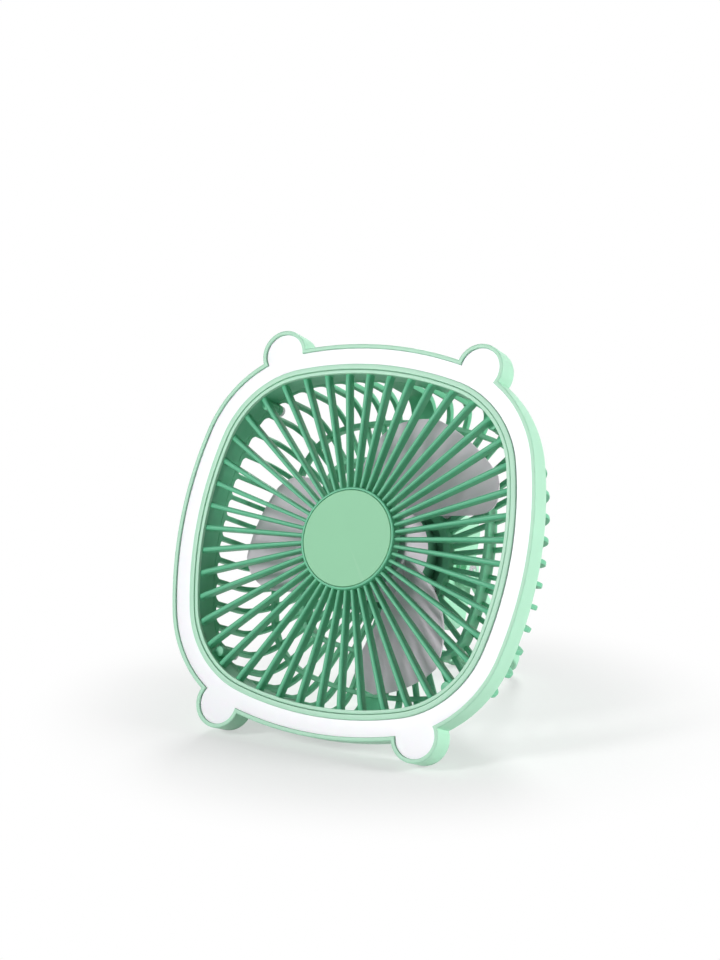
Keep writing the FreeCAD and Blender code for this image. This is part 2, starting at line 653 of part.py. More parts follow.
def box_screws():
    """The four screws from inside the cage into the control box's posts."""
    pieces = []
    for side in ("", "-"):
        for height in ("", "-"):
            pieces.append(small_screw(f"box_screw_{len(pieces) + 1}", f"{side}box_screw_across",
                                      f"{height}box_screw_up", PLATE_FRONT,
                                      "(plate_thick + box_screw_bite)"))
    return group("box_screws", pieces)


def motor_bracket():
    """The motor's cup with its bearing tube and three fixing tabs."""
    body = new_body("motor_bracket")
    tube = "tube_radius"
    bore = "bearing_radius"
    lip = "(bearing_radius - bearing_lip)"
    revolve(body, "bracket", (
        (bore, "-cup_back"), ("cup_radius", "-cup_back"), ("cup_radius", "-cup_front"),
        ("cup_radius - cup_wall", "-cup_front"),
        ("cup_radius - cup_wall", "-(cup_back - cup_floor)"),
        ("shelf_radius", "-(cup_back - cup_floor)"), ("shelf_radius", "-shelf_front"),
        (tube, "-shelf_front"), (tube, "-tube_front"), (bore, "-tube_front"),
        (bore, "-(tube_front + bearing_width)"), (lip, "-(tube_front + bearing_width)"),
        (lip, "-(cup_back - bearing_width)"), (bore, "-(cup_back - bearing_width)")))

    def tab(sketch):
        rectangle(sketch, "cup_radius - cup_wall / 2", "tab_reach", "-tab_radius", "tab_radius")
    sketch = new_sketch(body, "tab", offset="-seat_front", turn=90.0)
    tab(sketch)
    arm = pad(body, sketch, "tab_thick")
    doc.recompute()
    pattern(body, [arm], "3")
    slab(body, "tab_ends", lambda s: three_circles(s, "tab_radius", "tab_reach"),
         "seat_front - tab_thick", "seat_front")
    cut(body, "tab_holes", lambda s: three_circles(s, "small_screw + screw_gap", "tab_reach"),
        "seat_front - tab_thick", "seat_front")
    return body


def motor_screws():
    """The three screws through the bracket's tabs into the cage's seat."""
    return group("motor_screws", [
        small_screw(f"motor_screw_{angle}", f"tab_reach * cos({angle})",
                    f"tab_reach * sin({angle})", "seat_front - tab_thick",
                    "(tab_thick + motor_screw_bite)") for angle in (90, 210, 330)])


def motor_bearings():
    """The two ball bearings in the bracket's tube, each shown as one ring."""
    pieces = []
    for name, back in (("front_bearing", "(tube_front + bearing_width)"),
                       ("rear_bearing", "cup_back")):
        outer = primitive("Part::Cylinder", f"{name}_outside", ("0", "0", f"-{back}"),
                          Radius="bearing_radius - running_gap", Height="bearing_width")
        bore = primitive("Part::Cylinder", f"{name}_bore", ("0", "0", f"-{back} - 1"),
                         Radius="shaft_radius + running_gap", Height="bearing_width + 2")
        pieces.append(boolean("Part::Cut", name, outer, bore))
    return group("motor_bearings", pieces)


def motor_shaft():
    """The steel shaft, pressed into the rotor and grooved near its end for a clip."""
    body = new_body("motor_shaft")
    groove = "(cup_back + 2 * running_gap)"
    revolve(body, "shaft", (
        ("0", "-shaft_end"), ("shaft_radius", "-shaft_end"),
        ("shaft_radius", f"-({groove} + clip_thick + running_gap)"),
        ("shaft_radius - groove_deep", f"-({groove} + clip_thick + running_gap)"),
        ("shaft_radius - groove_deep", f"-{groove}"), ("shaft_radius", f"-{groove}"),
        ("shaft_radius", "-(rotor_front + rotor_skin)"), ("0", "-(rotor_front + rotor_skin)")))
    return body


def shaft_clip():
    """The clip that keeps the shaft in its bearings."""
    body = new_body("shaft_clip")
    front = "(cup_back + 2 * running_gap)"

    def ring(sketch):
        circle(sketch, "clip_radius")
        circle(sketch, "shaft_radius - groove_deep + running_gap")
    slab(body, "clip", ring, f"{front}", f"{front} + clip_thick")

    def mouth(sketch):
        rectangle(sketch, "0", "clip_radius + 1", "-clip_mouth / 2", "clip_mouth / 2")
    cut(body, "clip_mouth", mouth, f"{front}", f"{front} + clip_thick")
    return body


def stator_core():
    """The laminated core: a hub ring, nine teeth and their pole shoes."""
    body = new_body("stator_core")

    def hub(sketch):
        circle(sketch, "tube_radius + core_hub")
        circle(sketch, "tube_radius + 2.5 * running_gap")
    slab(body, "core_hub", hub, "stator_front", "stator_back")

    def tooth(sketch):
        rectangle(sketch, "tube_radius + core_hub - 1", "stator_radius - 1", "-tooth_width / 2",
                  "tooth_width / 2")
    arm = slab(body, "tooth", tooth, "stator_front", "stator_back")
    doc.recompute()
    pattern(body, [arm], "tooth_count")

    def shoes(sketch):
        circle(sketch, "stator_radius")
        circle(sketch, "stator_radius - shoe_thick")
    slab(body, "shoes", shoes, "stator_front", "stator_back")
    gap = new_sketch(body, "slot", offset="-stator_front", turn=180 / value("tooth_count"))
    bind(gap, "AttachmentOffset.Rotation.Angle", "180 / tooth_count")
    rectangle(gap, "stator_radius - shoe_thick - 1", "stator_radius + 1", "-slot_width / 2",
              "slot_width / 2")
    slot = pocket(body, gap, "stator_back - stator_front")
    doc.recompute()
    pattern(body, [slot], "tooth_count")
    return body


def stator_coils():
    """One winding round each tooth, shown as its outer form."""
    count = int(value("tooth_count"))
    pieces = []
    inner = "(tube_radius + coil_start)"
    long = "(stator_radius - coil_stop - tube_radius - coil_start)"
    side = "(tooth_width / 2 + coil_side)"
    for index in range(count):
        spin = FreeCAD.Rotation(V(0, 0, 1), 360 * index / count)
        low = "-(stator_back + coil_end)"
        outer = primitive("Part::Box", f"coil_{index + 1}_outside", ("0", "0", low),
                          Length=long, Width=f"2 * {side}",
                          Height="stator_back - stator_front + 2 * coil_end")
        core = primitive("Part::Box", f"coil_{index + 1}_core", ("0", "0", "0"),
                         Length=f"{long} + 2", Width="tooth_width + 2 * running_gap",
                         Height="stator_back - stator_front + 2 * running_gap")
        for box, start, half, bottom in (
                (outer, inner, side, low),
                (core, f"({inner} - 1)", "(tooth_width / 2 + running_gap)",
                 "-(stator_back + running_gap)")):
            place = V(value(start), -value(half), value(bottom))
            box.Placement = FreeCAD.Placement(V(0, 0, 0), spin).multiply(
                FreeCAD.Placement(place, FreeCAD.Rotation()))
            turn = f"{360 * index / count}"
            bind(box, "Placement.Base.x", f"{start} * cos({turn}) + {half} * sin({turn})")
            bind(box, "Placement.Base.y", f"{start} * sin({turn}) - {half} * cos({turn})")
            bind(box, "Placement.Base.z", bottom)
        pieces.append(boolean("Part::Cut", f"coil_{index + 1}", outer, core))
    return group("stator_coils", pieces)


def motor_driver():
    """The motor's own small circuit board, on the bracket's shelf."""
    body = new_body("motor_driver")

    def ring(sketch):
        circle(sketch, "driver_radius")
        circle(sketch, "tube_radius + fit_gap")
    slab(body, "driver", ring, "shelf_front - driver_thick", "shelf_front")
    return body


def rotor_can():
    """The steel cup that carries the magnet inside the rotor's hub."""
    body = new_body("rotor_can")
    front = "(rotor_front + rotor_skin)"
    revolve(body, "can", (
        (f"{BOSS_OUT} + screw_gap", f"-({front} + can_wall)"),
        (f"{BOSS_OUT} + screw_gap", f"-{front}"), (CAN_OUT, f"-{front}"),
        (CAN_OUT, "-(rotor_back - can_short)"),
        (f"{CAN_OUT} - can_wall", "-(rotor_back - can_short)"),
        (f"{CAN_OUT} - can_wall", f"-({front} + can_wall)")))
    return body


def magnet_ring():
    """The ring magnet glued into the steel cup."""
    body = new_body("magnet_ring")

    def ring(sketch):
        circle(sketch, f"{CAN_OUT} - can_wall")
        circle(sketch, MAGNET_IN)
    slab(body, "magnet", ring, "stator_front - magnet_past", "stator_back + magnet_past")
    return body


def blade(name, turn):
    """One swept blade: a smooth surface from hub to tip, given thickness along the axis.

    Out runs from 0 at the hub to 1 at the tip, and across from the trailing edge, which is in
    front, to the leading one. Both edges curl in near the tip, which rounds its corners.
    """
    root = value("rotor_radius - blade_sink")
    tip = value("blade_tip")
    rows = []
    for step in range(13):
        out = step / 12
        leading = (value("lead_root") - value("lead_sweep") * out + value("lead_curl") * out ** 2
                   + value("lead_corner") * out ** 8)
        trailing = (value("trail_root") - value("trail_sweep") * out
                    - value("trail_corner") * out ** 6)
        front = value("blade_front") + value("tip_drop") * out ** 6
        back = (value("blade_back") - value("root_rise") * (1 - out) ** 3
                - value("tip_rise") * out ** 6)
        row = []
        for stop in range(13):
            across = stop / 12
            reach = root + (tip - root) * out
            angle = math.radians(trailing + (leading - trailing) * across + turn)
            bend = across + value("blade_camber") * math.sin(math.pi * across)
            depth = front + (back - front) * bend
            row.append(V(reach * math.cos(angle), reach * math.sin(angle), -depth))
        rows.append(row)
    surface = Part.BSplineSurface()
    surface.interpolate(rows)
    solid = surface.toShape().extrude(V(0, 0, -value("blade_thick")))
    thing = doc.addObject("Part::Feature", name)
    thing.Shape = solid
    return thing


def fan_blades():
    """The moulded rotor: a hub cup with a boss for the shaft, and three swept blades."""
    hub = new_body("rotor_hub")
    skin = "(rotor_front + rotor_skin)"
    revolve(hub, "hub", (
        ("0", "-rotor_front"), ("rotor_radius - hub_round", "-rotor_front"),
        ("rotor_radius", "-(rotor_front + hub_round)"), ("rotor_radius", "-rotor_back"),
        ("rotor_radius - rotor_skin", "-rotor_back"), ("rotor_radius - rotor_skin", f"-{skin}"),
        (BOSS_OUT, f"-{skin}"), (BOSS_OUT, f"-({skin} + boss_long)"),
        ("shaft_radius", f"-({skin} + boss_long)"), ("shaft_radius", f"-{skin}"),
        ("0", f"-{skin}")))
    count = int(value("blade_count"))
    blades = [blade(f"blade_{index + 1}", 360 * index / count) for index in range(count)]
    thing = doc.addObject("Part::MultiFuse", "fan_blades")
    thing.Label = "fan_blades"
    thing.Shapes = [hub] + blades
    return thing


def control_box():
    """The housing on the cage's back, with the buttons' holes, socket slot and pivot bosses."""
    body = new_body("control_box")
    slab(body, "box_outside", box_outline, "cage_back", "box_back")
    depth = value("box_back")
    round_edges(body, "box_edges", lambda e: edge_at_depth(e, depth), "box_round")
    for side in ("", "-"):
        boss = new_sketch(body, f"boss_{len(body.Group)}", role="YZ_Plane",
                          offset=f"{side}(box_across / 2 + boss_high)")
        circle(boss, "eye_radius - washer_thick", "0", "-pivot_depth")
        lump = pad(body, boss, "boss_high + box_wall / 2")
        lump.Reversed = side == ""
    cut(body, "box_inside", lambda s: box_outline(s, "box_wall"), "cage_back", BOX_INNER_BACK)
    slab(body, "box_posts",
         lambda s: four_circles(s, "box_post", "box_screw_across", "box_screw_up"),
         "cage_back", BOX_INNER_BACK)

    def rails(sketch):
        for side in ("", "-"):
            rectangle(sketch, f"{side}rail_apart / 2 - rail_width / 2",
                      f"{side}rail_apart / 2 + rail_width / 2", "-(board_tall / 2)",
                      "board_tall / 2")
    slab(body, "board_rails", rails, BOARD_BACK, BOX_INNER_BACK)
    pilots = new_sketch(body, "post_pilots", offset="-cage_back")
    four_circles(pilots, "small_screw + screw_gap / 2", "box_screw_across", "box_screw_up")
    pocket(body, pilots, "pilot_deep")
    pivots = new_sketch(body, "pin_holes", role="YZ_Plane")
    circle(pivots, "pin_thread + screw_gap", "0", "-pivot_depth")
    through = pocket(body, pivots)
    through.Midplane = True
    slot = new_sketch(body, "socket_slot", role="XZ_Plane")
    rounded(slot, "(socket_width / 2 + socket_gap)", "(socket_high / 2 + socket_gap)",
            "(socket_high / 2 + socket_gap - 0.01)", "socket_across",
            f"-({BOARD_FRONT} - socket_high / 2)")
    opening = pocket(body, slot, WALL_TOP)
    opening.Reversed = True
    holes = new_sketch(body, "button_holes", role="XZ_Plane")
    for side in ("", "-"):
        circle(holes, "button_radius + button_gap", f"{side}button_across", "-button_depth")
    pocket(body, holes, WALL_TOP)
    doc.recompute()
    return body


def control_board():
    """The circuit board that carries the switches, the socket and the charging parts."""
    pieces = [primitive("Part::Box", "board",
                        ("-(board_across / 2)", "-(board_tall / 2)", f"-{BOARD_BACK}"),
                        Length="board_across", Width="board_tall", Height="board_thick")]
    for name, across, up, wide, tall, high in (
            ("controller", -4.0, 3.0, 7.0, 7.0, 1.0), ("charger", 10.0, -10.0, 5.0, 6.0, 1.6),
            ("coil", 2.0, -9.0, 6.0, 6.0, 3.0), ("driver_chip", -12.0, -2.0, 5.0, 4.0, 1.5),
            ("battery_plug", -11.0, -16.0, 8.0, 6.0, 5.0),
            ("motor_plug", -13.0, 8.0, 6.0, 8.0, 5.0)):
        pieces.append(primitive("Part::Box", name, (f"{across - wide / 2}", f"{up - tall / 2}",
                                                    f"-{BOARD_FRONT}"),
                                Length=f"{wide}", Width=f"{tall}", Height=f"{high}"))
    thing = doc.addObject("Part::MultiFuse", "control_board")
    thing.Label = "control_board"
    thing.Shapes = pieces
    return thing


def usb_socket():
    """The charging socket: a round-ended shell with its tongue."""
    body = new_body("usb_socket")
    middle = f"-({BOARD_FRONT} - socket_high / 2)"
    mouth = "(box_tall / 2 - socket_set)"
    shell = new_sketch(body, "shell", role="XZ_Plane", offset=mouth)
    rounded(shell, "(socket_width / 2)", "(socket_high / 2)", "(socket_high / 2 - 0.01)",
            "socket_across", middle)
    pad(body, shell, "socket_long").Reversed = True
    doc.recompute()
    inside = new_sketch(body, "shell_inside", role="XZ_Plane", offset=mouth)
    rounded(inside, "(socket_width / 2 - socket_wall)", "(socket_high / 2 - socket_wall)",
            "(socket_high / 2 - socket_wall - 0.01)", "socket_across", middle)
    pocket(body, inside, "socket_long - 1")
    doc.recompute()
    tongue = new_sketch(body, "tongue", role="XZ_Plane", offset=f"{mouth} - 1")
    rounded(tongue, "(tongue_width / 2)", "(tongue_thick / 2)", "tongue_round",
            "socket_across", middle)
    pad(body, tongue, "socket_long - 1.5").Reversed = True
    return body


def across_cylinder(name, start, radius, long, up="0", depth="pivot_depth"):
    """A cylinder lying across the fan, from a place along X."""
    return primitive("Part::Cylinder", name, (start, up, f"-({depth})"),
                     FreeCAD.Rotation(V(0, 1, 0), 90), Radius=radius, Height=long)


def upward_cylinder(name, across, start, radius, long):
    """A cylinder lying along the button's travel, from a place along Y."""
    return primitive("Part::Cylinder", name, (across, start, "-button_depth"),
                     FreeCAD.Rotation(V(1, 0, 0), -90), Radius=radius, Height=long)


def tact_switches():
    """The two push switches under the buttons."""
    pieces = []
    for name, side in (("fan", "-"), ("light", "")):
        case = primitive("Part::Box", f"{name}_switch_case",
                         (f"{side}button_across - switch_size / 2",
                          f"{SWITCH_FACE} - switch_deep", f"-{BOARD_FRONT}"),
                         Length="switch_size", Width="switch_deep",
                         Height=f"({BOARD_FRONT} - button_depth + switch_size / 2)")
        plunger = upward_cylinder(f"{name}_switch_plunger", f"{side}button_across",
                                  f"{SWITCH_FACE} - 1", "plunger_radius", "plunger_high + 1")
        pieces.append(boolean("Part::Fuse", f"{name}_switch", case, plunger))
    return group("tact_switches", pieces)


def push_button(name, side):
    """A round button with the flange that keeps it in its hole."""
    cap = upward_cylinder(f"{name}_cap", f"{side}button_across",
                          FLANGE_LOW, "button_radius",
                          "box_wall + button_gap + button_flange + button_proud")
    soft = doc.addObject("Part::Fillet", f"{name}_soft")
    soft.Base = cap
    doc.recompute()
    top = value("box_tall / 2 + button_proud")
    soft_radius = value("button_soft")
    soft.Edges = [(index + 1, soft_radius, soft_radius) for index, edge in enumerate(cap.Shape.Edges)
                  if abs(edge.BoundBox.YMin - top) < 1e-4]
    flange = upward_cylinder(f"{name}_flange", f"{side}button_across",
                             FLANGE_LOW, "button_radius + 1", "button_flange")
    thing = boolean("Part::Fuse", name, soft, flange)
    thing.Label = name
    return thing


def fan_button():
    return push_button("fan_button", "-")


def light_button():
    return push_button("light_button", "")


def battery_pack():
    """The flat lithium pouch cell."""
    box = primitive("Part::Box", "pouch",
                    ("-(pouch_across / 2)", "-(pouch_tall / 2)",
                     "-(cage_back + tape_thick + pouch_thick)"),
                    Length="pouch_across", Width="pouch_tall", Height="pouch_thick")
    thing = doc.addObject("Part::Fillet", "battery_pack")
    thing.Label = "battery_pack"
    thing.Base = box
    doc.recompute()
    radius = value("pouch_round")
    thing.Edges = [(index + 1, radius, radius) for index, edge in enumerate(box.Shape.Edges)
                   if edge.BoundBox.YLength > value("pouch_tall") - 1]
    return thing


def battery_tape():
    """The foam tape that holds the cell to the cage."""
    pad_box = primitive("Part::Box", "tape_pad",
                        ("-(tape_across / 2)", "-(tape_tall / 2)",
                         "-(cage_back + tape_thick)"),
                        Length="tape_across", Width="tape_tall", Height="tape_thick")
    return group("battery_tape", [pad_box])


def carry_handle():
    """The square bail, drawn hanging from its pivots, with the hook's seat in its bar."""
    body = new_body("carry_handle")
    sketch = new_sketch(body, "bail", role="XZ_Plane", offset="-(handle_width / 2)")
    outer = "handle_across / 2"
    step = "(hook_across / 2 + hook_rise)"
    low = "handle_reach"
    inner_low = "(handle_reach - handle_bar)"
    polygon(sketch, (
        (f"-({outer})", "0"), (f"-({outer})", f"-{low}"), (f"-{step}", f"-{low}"),
        ("-(hook_across / 2)", f"-({low} + hook_rise)"),
        ("hook_across / 2", f"-({low} + hook_rise)"), (step, f"-{low}"), (outer, f"-{low}"),
        (outer, "0"), (HANDLE_INNER, "0"), (HANDLE_INNER, f"-{inner_low}"),
        (step, f"-{inner_low}"), ("hook_across / 2", f"-({inner_low} + hook_rise)"),
        ("-(hook_across / 2)", f"-({inner_low} + hook_rise)"), (f"-{step}", f"-{inner_low}"),
        (f"-{HANDLE_INNER}", f"-{inner_low}"), (f"-{HANDLE_INNER}", "0")))
    pad(body, sketch, "handle_width")
    reach, bar, half = value("handle_reach"), value("handle_bar"), value("handle_across / 2")

    def corner_at(across, high):
        def chosen(edge):
            box = edge.BoundBox
            return (box.XLength < 1e-4 and box.ZLength < 1e-4
                    and abs(abs(box.XMin) - across) < 1e-3 and abs(box.ZMin + high) < 1e-3)
        return chosen
    round_edges(body, "outer_corners", corner_at(half, reach), "handle_corner")
    round_edges(body, "inner_corners", corner_at(half - bar, reach - bar),
                "handle_corner - handle_bar")
    hook, rise = value("hook_across / 2"), value("hook_rise")

    def at_hook(edge):
        box = edge.BoundBox
        return (box.XLength < 1e-4 and box.ZLength < 1e-4
                and abs(box.XMin) < hook + rise + 0.1)
    round_edges(body, "hook_corners", at_hook, "hook_rise")
    side = value("handle_width / 2")

    def at_side(edge):
        box = edge.BoundBox
        return box.YLength < 1e-4 and abs(abs(box.YMin) - side) < 1e-4 and box.ZMin < -1e-3 and (
            box.ZMax < 1e-3) and not (box.ZLength < 1e-4 and abs(box.ZMin) < 1e-3)
    round_edges(body, "bar_edges", at_side, BAR_ROUND)
    for name, start in (("right_eye", HANDLE_INNER), ("left_eye", "-(handle_across / 2)")):
        eye = new_sketch(body, name, role="YZ_Plane", offset=start)
        circle(eye, "eye_radius")
        pad(body, eye, "handle_bar")
    doc.recompute()
    holes = new_sketch(body, "pivot_holes", role="YZ_Plane")
    circle(holes, "pin_radius + screw_gap")
    through = pocket(body, holes)
    through.Midplane = True
    for name, start, back in (("right_sink", "handle_across / 2", False),
                              ("left_sink", "-(handle_across / 2)", True)):
        sink = new_sketch(body, name, role="YZ_Plane", offset=start)
        circle(sink, "pin_head + 2 * screw_gap")
        pocket(body, sink, "pin_sink").Reversed = back
    doc.recompute()
    return body


def both_sides(label, build):
    """The same piece on the right and the left of the box."""
    return group(label, [build("right", ""), build("left", "-")])


def handle_washers():
    """The spacing washers between the box's bosses and the bail's eyes."""
    def build(side, sign):
        start = "box_across / 2 + boss_high"
        start = start if not sign else f"-({start} + washer_thick)"
        disc = across_cylinder(f"{side}_washer_disc", start, "eye_radius - 0.9", "washer_thick")
        hole = across_cylinder(f"{side}_washer_hole", f"{start} - 1",
                               "pin_radius + screw_gap", "washer_thick + 2")
        return boolean("Part::Cut", f"{side}_washer", disc, hole)
    return both_sides("handle_washers", build)


def handle_pins():
    """The two shouldered pins the bail turns on."""
    def build(side, sign):
        def span(low, high):
            return low if not sign else f"-({high})"
        head = across_cylinder(f"{side}_pin_head", span(PIN_SEAT, f"{PIN_SEAT} + pin_head_high"),
                               "pin_head", "pin_head_high")
        shoulder = across_cylinder(f"{side}_pin_shoulder", span(BOSS_END, PIN_SEAT),
                                   "pin_radius", f"{PIN_SEAT} - {BOSS_END}")
        end = f"({WALL_SIDE} - nut_thick - pin_past)"
        thread = across_cylinder(f"{side}_pin_thread", span(end, BOSS_END), "pin_thread",
                                 f"{BOSS_END} - {end}")
        thing = doc.addObject("Part::MultiFuse", f"{side}_pin")
        thing.Shapes = [head, shoulder, thread]
        return thing
    return both_sides("handle_pins", build)


def pin_nuts():
    """The nuts inside the box that hold the pins."""
    def build(side, sign):
        start = f"{WALL_SIDE} - nut_thick" if not sign else f"-{WALL_SIDE}"
        body = primitive("Part::Prism", f"{side}_nut_body", (start, "0", "-pivot_depth"),
                         FreeCAD.Rotation(V(0, 1, 0), 90),
                         Circumradius="nut_across / 2 / cos(30)", Height="nut_thick")
        hole = across_cylinder(f"{side}_nut_hole", f"{start} - 1", "pin_thread + running_gap",
                               "nut_thick + 2")
        return boolean("Part::Cut", f"{side}_nut", body, hole)
    return both_sides("pin_nuts", build)


PIECES = (front_frame, light_diffuser, light_strip, light_chips, front_grille,
          grille_centre_cap, rear_cage, cage_screws, box_screws, motor_bracket, motor_screws,
          motor_bearings, motor_driver, stator_core, stator_coils, motor_shaft, shaft_clip,
          rotor_can, magnet_ring, fan_blades, control_box, control_board, usb_socket,
          tact_switches, fan_button, light_button, battery_pack, battery_tape, handle_washers,
          handle_pins, pin_nuts)

finished = [stand(make()) for make in PIECES]
finished.append(stand(carry_handle(), along=f"({FACE_ALONG} + pivot_depth * cos(lean))",
                      high=PIVOT_HIGH, turn=f"90 deg - {PROP_ANGLE}"))
doc.recompute()
for thing in doc.Objects:
    if "Invalid" in thing.State or "Error" in thing.State:
        raise RuntimeError(f"{thing.Name} did not build: {thing.State}")
for thing in finished:
    shape = thing.Shape
    if shape.isNull() or not shape.isValid() or not shape.Solids:
        raise RuntimeError(f"{thing.Label} is not a sound solid")
    shape.exportStep(f"parts/{thing.Label}.step")
    print(thing.Label, len(shape.Solids), "solids", round(shape.Volume, 1), "mm3")
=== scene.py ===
"""Looks of the standing camping fan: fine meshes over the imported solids, plastics, light, camera.

The meshes are drawn in millimetres in the fan's own frame: X right, Y up the face and Z out of the
face, with 0 at the front of the light's diffuser. The pairs of a profile are an inset from the
face's outline, or a radius round an axis, and a depth or a place along that axis.
"""

import math

import bmesh
import bpy
from mathutils import Matrix, Vector


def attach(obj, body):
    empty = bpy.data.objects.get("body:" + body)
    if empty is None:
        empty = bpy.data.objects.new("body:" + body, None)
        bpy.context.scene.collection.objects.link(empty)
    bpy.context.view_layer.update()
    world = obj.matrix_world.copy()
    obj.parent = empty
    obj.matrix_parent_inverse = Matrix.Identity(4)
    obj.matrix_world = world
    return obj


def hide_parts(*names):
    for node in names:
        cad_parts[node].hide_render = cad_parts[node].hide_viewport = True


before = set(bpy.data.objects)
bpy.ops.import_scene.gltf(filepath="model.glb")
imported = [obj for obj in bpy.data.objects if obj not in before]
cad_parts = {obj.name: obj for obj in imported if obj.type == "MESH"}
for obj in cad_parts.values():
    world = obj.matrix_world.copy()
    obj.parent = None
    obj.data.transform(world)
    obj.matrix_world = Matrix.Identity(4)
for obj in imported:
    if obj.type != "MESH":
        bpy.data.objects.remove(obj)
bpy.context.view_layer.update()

# Millimetres in a metre, and how near two points in metres are one.
MM = 1000
MERGE = 1e-7

# Edges that fold by more degrees than this stay sharp.
CREASE = 40

# The fan stands leaning back.
LEAN = math.radians(21.5)
FACE_ALONG = -47.897
FACE_HIGH = 95.142
FAN = Matrix(((1, 0, 0, 0),
              (0, math.sin(LEAN), -math.cos(LEAN), FACE_ALONG),
              (0, math.cos(LEAN), math.sin(LEAN), FACE_HIGH),
              (0, 0, 0, 1)))

# The bail turns on pins behind the face. Its own frame has X along the pins and -Z along its arms.
PIVOT_DEPTH = -73.0
PROP = math.radians(46.73)
PIVOT = FAN @ Vector((0, 0, PIVOT_DEPTH))
BAIL = Matrix.Translation(PIVOT) @ Matrix.Rotation(math.pi / 2 - PROP, 4, "X")

# Outline of the face: four flat arcs and four corner arcs, and a round ear beside each corner.
HALF, SIDE_RADIUS, CORNER_RADIUS = 94.0, 182.0, 59.45
REACH = SIDE_RADIUS - HALF
SPREAD = SIDE_RADIUS - CORNER_RADIUS
CENTRE = (math.sqrt(2 * SPREAD ** 2 - REACH ** 2) - REACH) / 2
TURN = math.atan2(CENTRE, CENTRE + REACH)
EAR_X, EAR_Y, EAR_RADIUS = 52.8, 85.7, 12.0
EARS = [(EAR_X, EAR_Y), (-EAR_X, EAR_Y), (-EAR_X, -EAR_Y), (EAR_X, -EAR_Y)]

# An ear's neck is found by halving, outward from its middle. Loops deeper inside than the first
# number keep the neck of that depth.
EAR_DEEPEST = 9.0
EAR_SEARCH = 0.35
HALVINGS = 50

# Steps along an ear, along the outline between two ears, and along a whole loop without ears.
STEPS_EAR, STEPS_SHORT, STEPS_LONG = 26, 40, 70
STEPS_ROUND = 360

# Widths across the face: the outer lip, the ring light and the inner lip.
RIM, LIGHT, INNER = 2.0, 7.8, 2.6
LIGHT_END = RIM + LIGHT
OPENING = LIGHT_END + INNER

# The play round the grille in the frame, and round the diffuser.
GAP = 0.15
SEAM = 0.04

# Steps round a turned form.
HUB_STEPS, CUP_STEPS, EYE_STEPS, POST_STEPS = 128, 96, 48, 32

# Depths of the frame.
LIP = 1.0
DIFFUSER_BACK, DIFFUSER_SOFT = -6.0, 0.08
LEDGE, LEDGE_WIDTH = -8.0, 1.0
CHANNEL = -12.0
FRAME_BACK = -14.0
BACK_ROUND = 3.0


def add(name, verts, faces, body, material, slot, stands_for=(), place=FAN, sharp=CREASE):
    """A mesh piece from points in millimetres, riding on a body."""
    mesh = bpy.data.meshes.new(name)
    mesh.from_pydata([(place @ Vector(v)) / MM for v in verts], [], faces)
    mesh.validate()
    obj = bpy.data.objects.new(name, mesh)
    bpy.context.scene.collection.objects.link(obj)
    tidy = bmesh.new()
    tidy.from_mesh(mesh)
    bmesh.ops.remove_doubles(tidy, verts=tidy.verts, dist=MERGE)
    bmesh.ops.recalc_face_normals(tidy, faces=tidy.faces)
    for edge in tidy.edges:
        edge.smooth = (len(edge.link_faces) == 2
                       and edge.calc_face_angle(0) < math.radians(sharp))
    for face in tidy.faces:
        face.smooth = True
    tidy.to_mesh(mesh)
    tidy.free()
    mesh.materials.append(material)
    even = obj.modifiers.new("even_normals", "WEIGHTED_NORMAL")
    even.keep_sharp = True
    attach(obj, body)
    if stands_for:
        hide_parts(*stands_for)
    return obj


class Mesh:
    """Collects points and faces of several forms that make one piece."""

    def __init__(self):
        self.verts, self.faces = [], []

    def loops(self, rows, closed=True, wrap=False, caps=False):
        """Skin a list of equally long rows of points."""
        start, count = len(self.verts), len(rows[0])
        for row in rows:
            self.verts.extend(row)
        for i in range(len(rows) if wrap else len(rows) - 1):
            here, there = start + i * count, start + ((i + 1) % len(rows)) * count
            for j in range(count if closed else count - 1):
                k = (j + 1) % count
                self.faces.append((here + j, here + k, there + k, there + j))
        if caps:
            self.faces.append(tuple(start + j for j in reversed(range(count))))
            last = start + (len(rows) - 1) * count
            self.faces.append(tuple(last + j for j in range(count)))

    def turned(self, profile, steps, at=(0, 0), wrap=False, along="z"):
        """A turned form from pairs of radius and place along its axis, z or x."""
        rows = []
        for radius, place in profile:
            row = []
            for i in range(steps):
                a = 2 * math.pi * i / steps
                u, v = at[0] + radius * math.cos(a), at[1] + radius * math.sin(a)
                row.append((u, v, place) if along == "z" else (place, u, v))
            rows.append(row)
        self.loops(rows, wrap=wrap)
        if wrap:
            return
        for index, flip in ((0, True), (len(rows) - 1, False)):
            if profile[index][0] > 0:
                base = len(self.verts) - steps * (len(rows) - index)
                ring = [base + j for j in range(steps)]
                self.faces.append(tuple(reversed(ring)) if flip else tuple(ring))

    def add(self, name, *args, **options):
        return add(name, self.verts, self.faces, *args, **options)


def arc(cx, cy, radius, start, end, steps):
    """Points of an arc, in degrees."""
    angles = [math.radians(start + (end - start) * i / steps) for i in range(steps + 1)]
    return [(cx + radius * math.cos(a), cy + radius * math.sin(a)) for a in angles]


def box_corners(half_x, half_y, corner, steps):
    """Points of a rectangle with rounded corners, starting at the lower right one."""
    points = []
    for index, (x, y) in enumerate(((1, -1), (1, 1), (-1, 1), (-1, -1))):
        points += arc(x * (half_x - corner), y * (half_y - corner), corner,
                      90 * index - 90, 90 * index, steps)
    return points


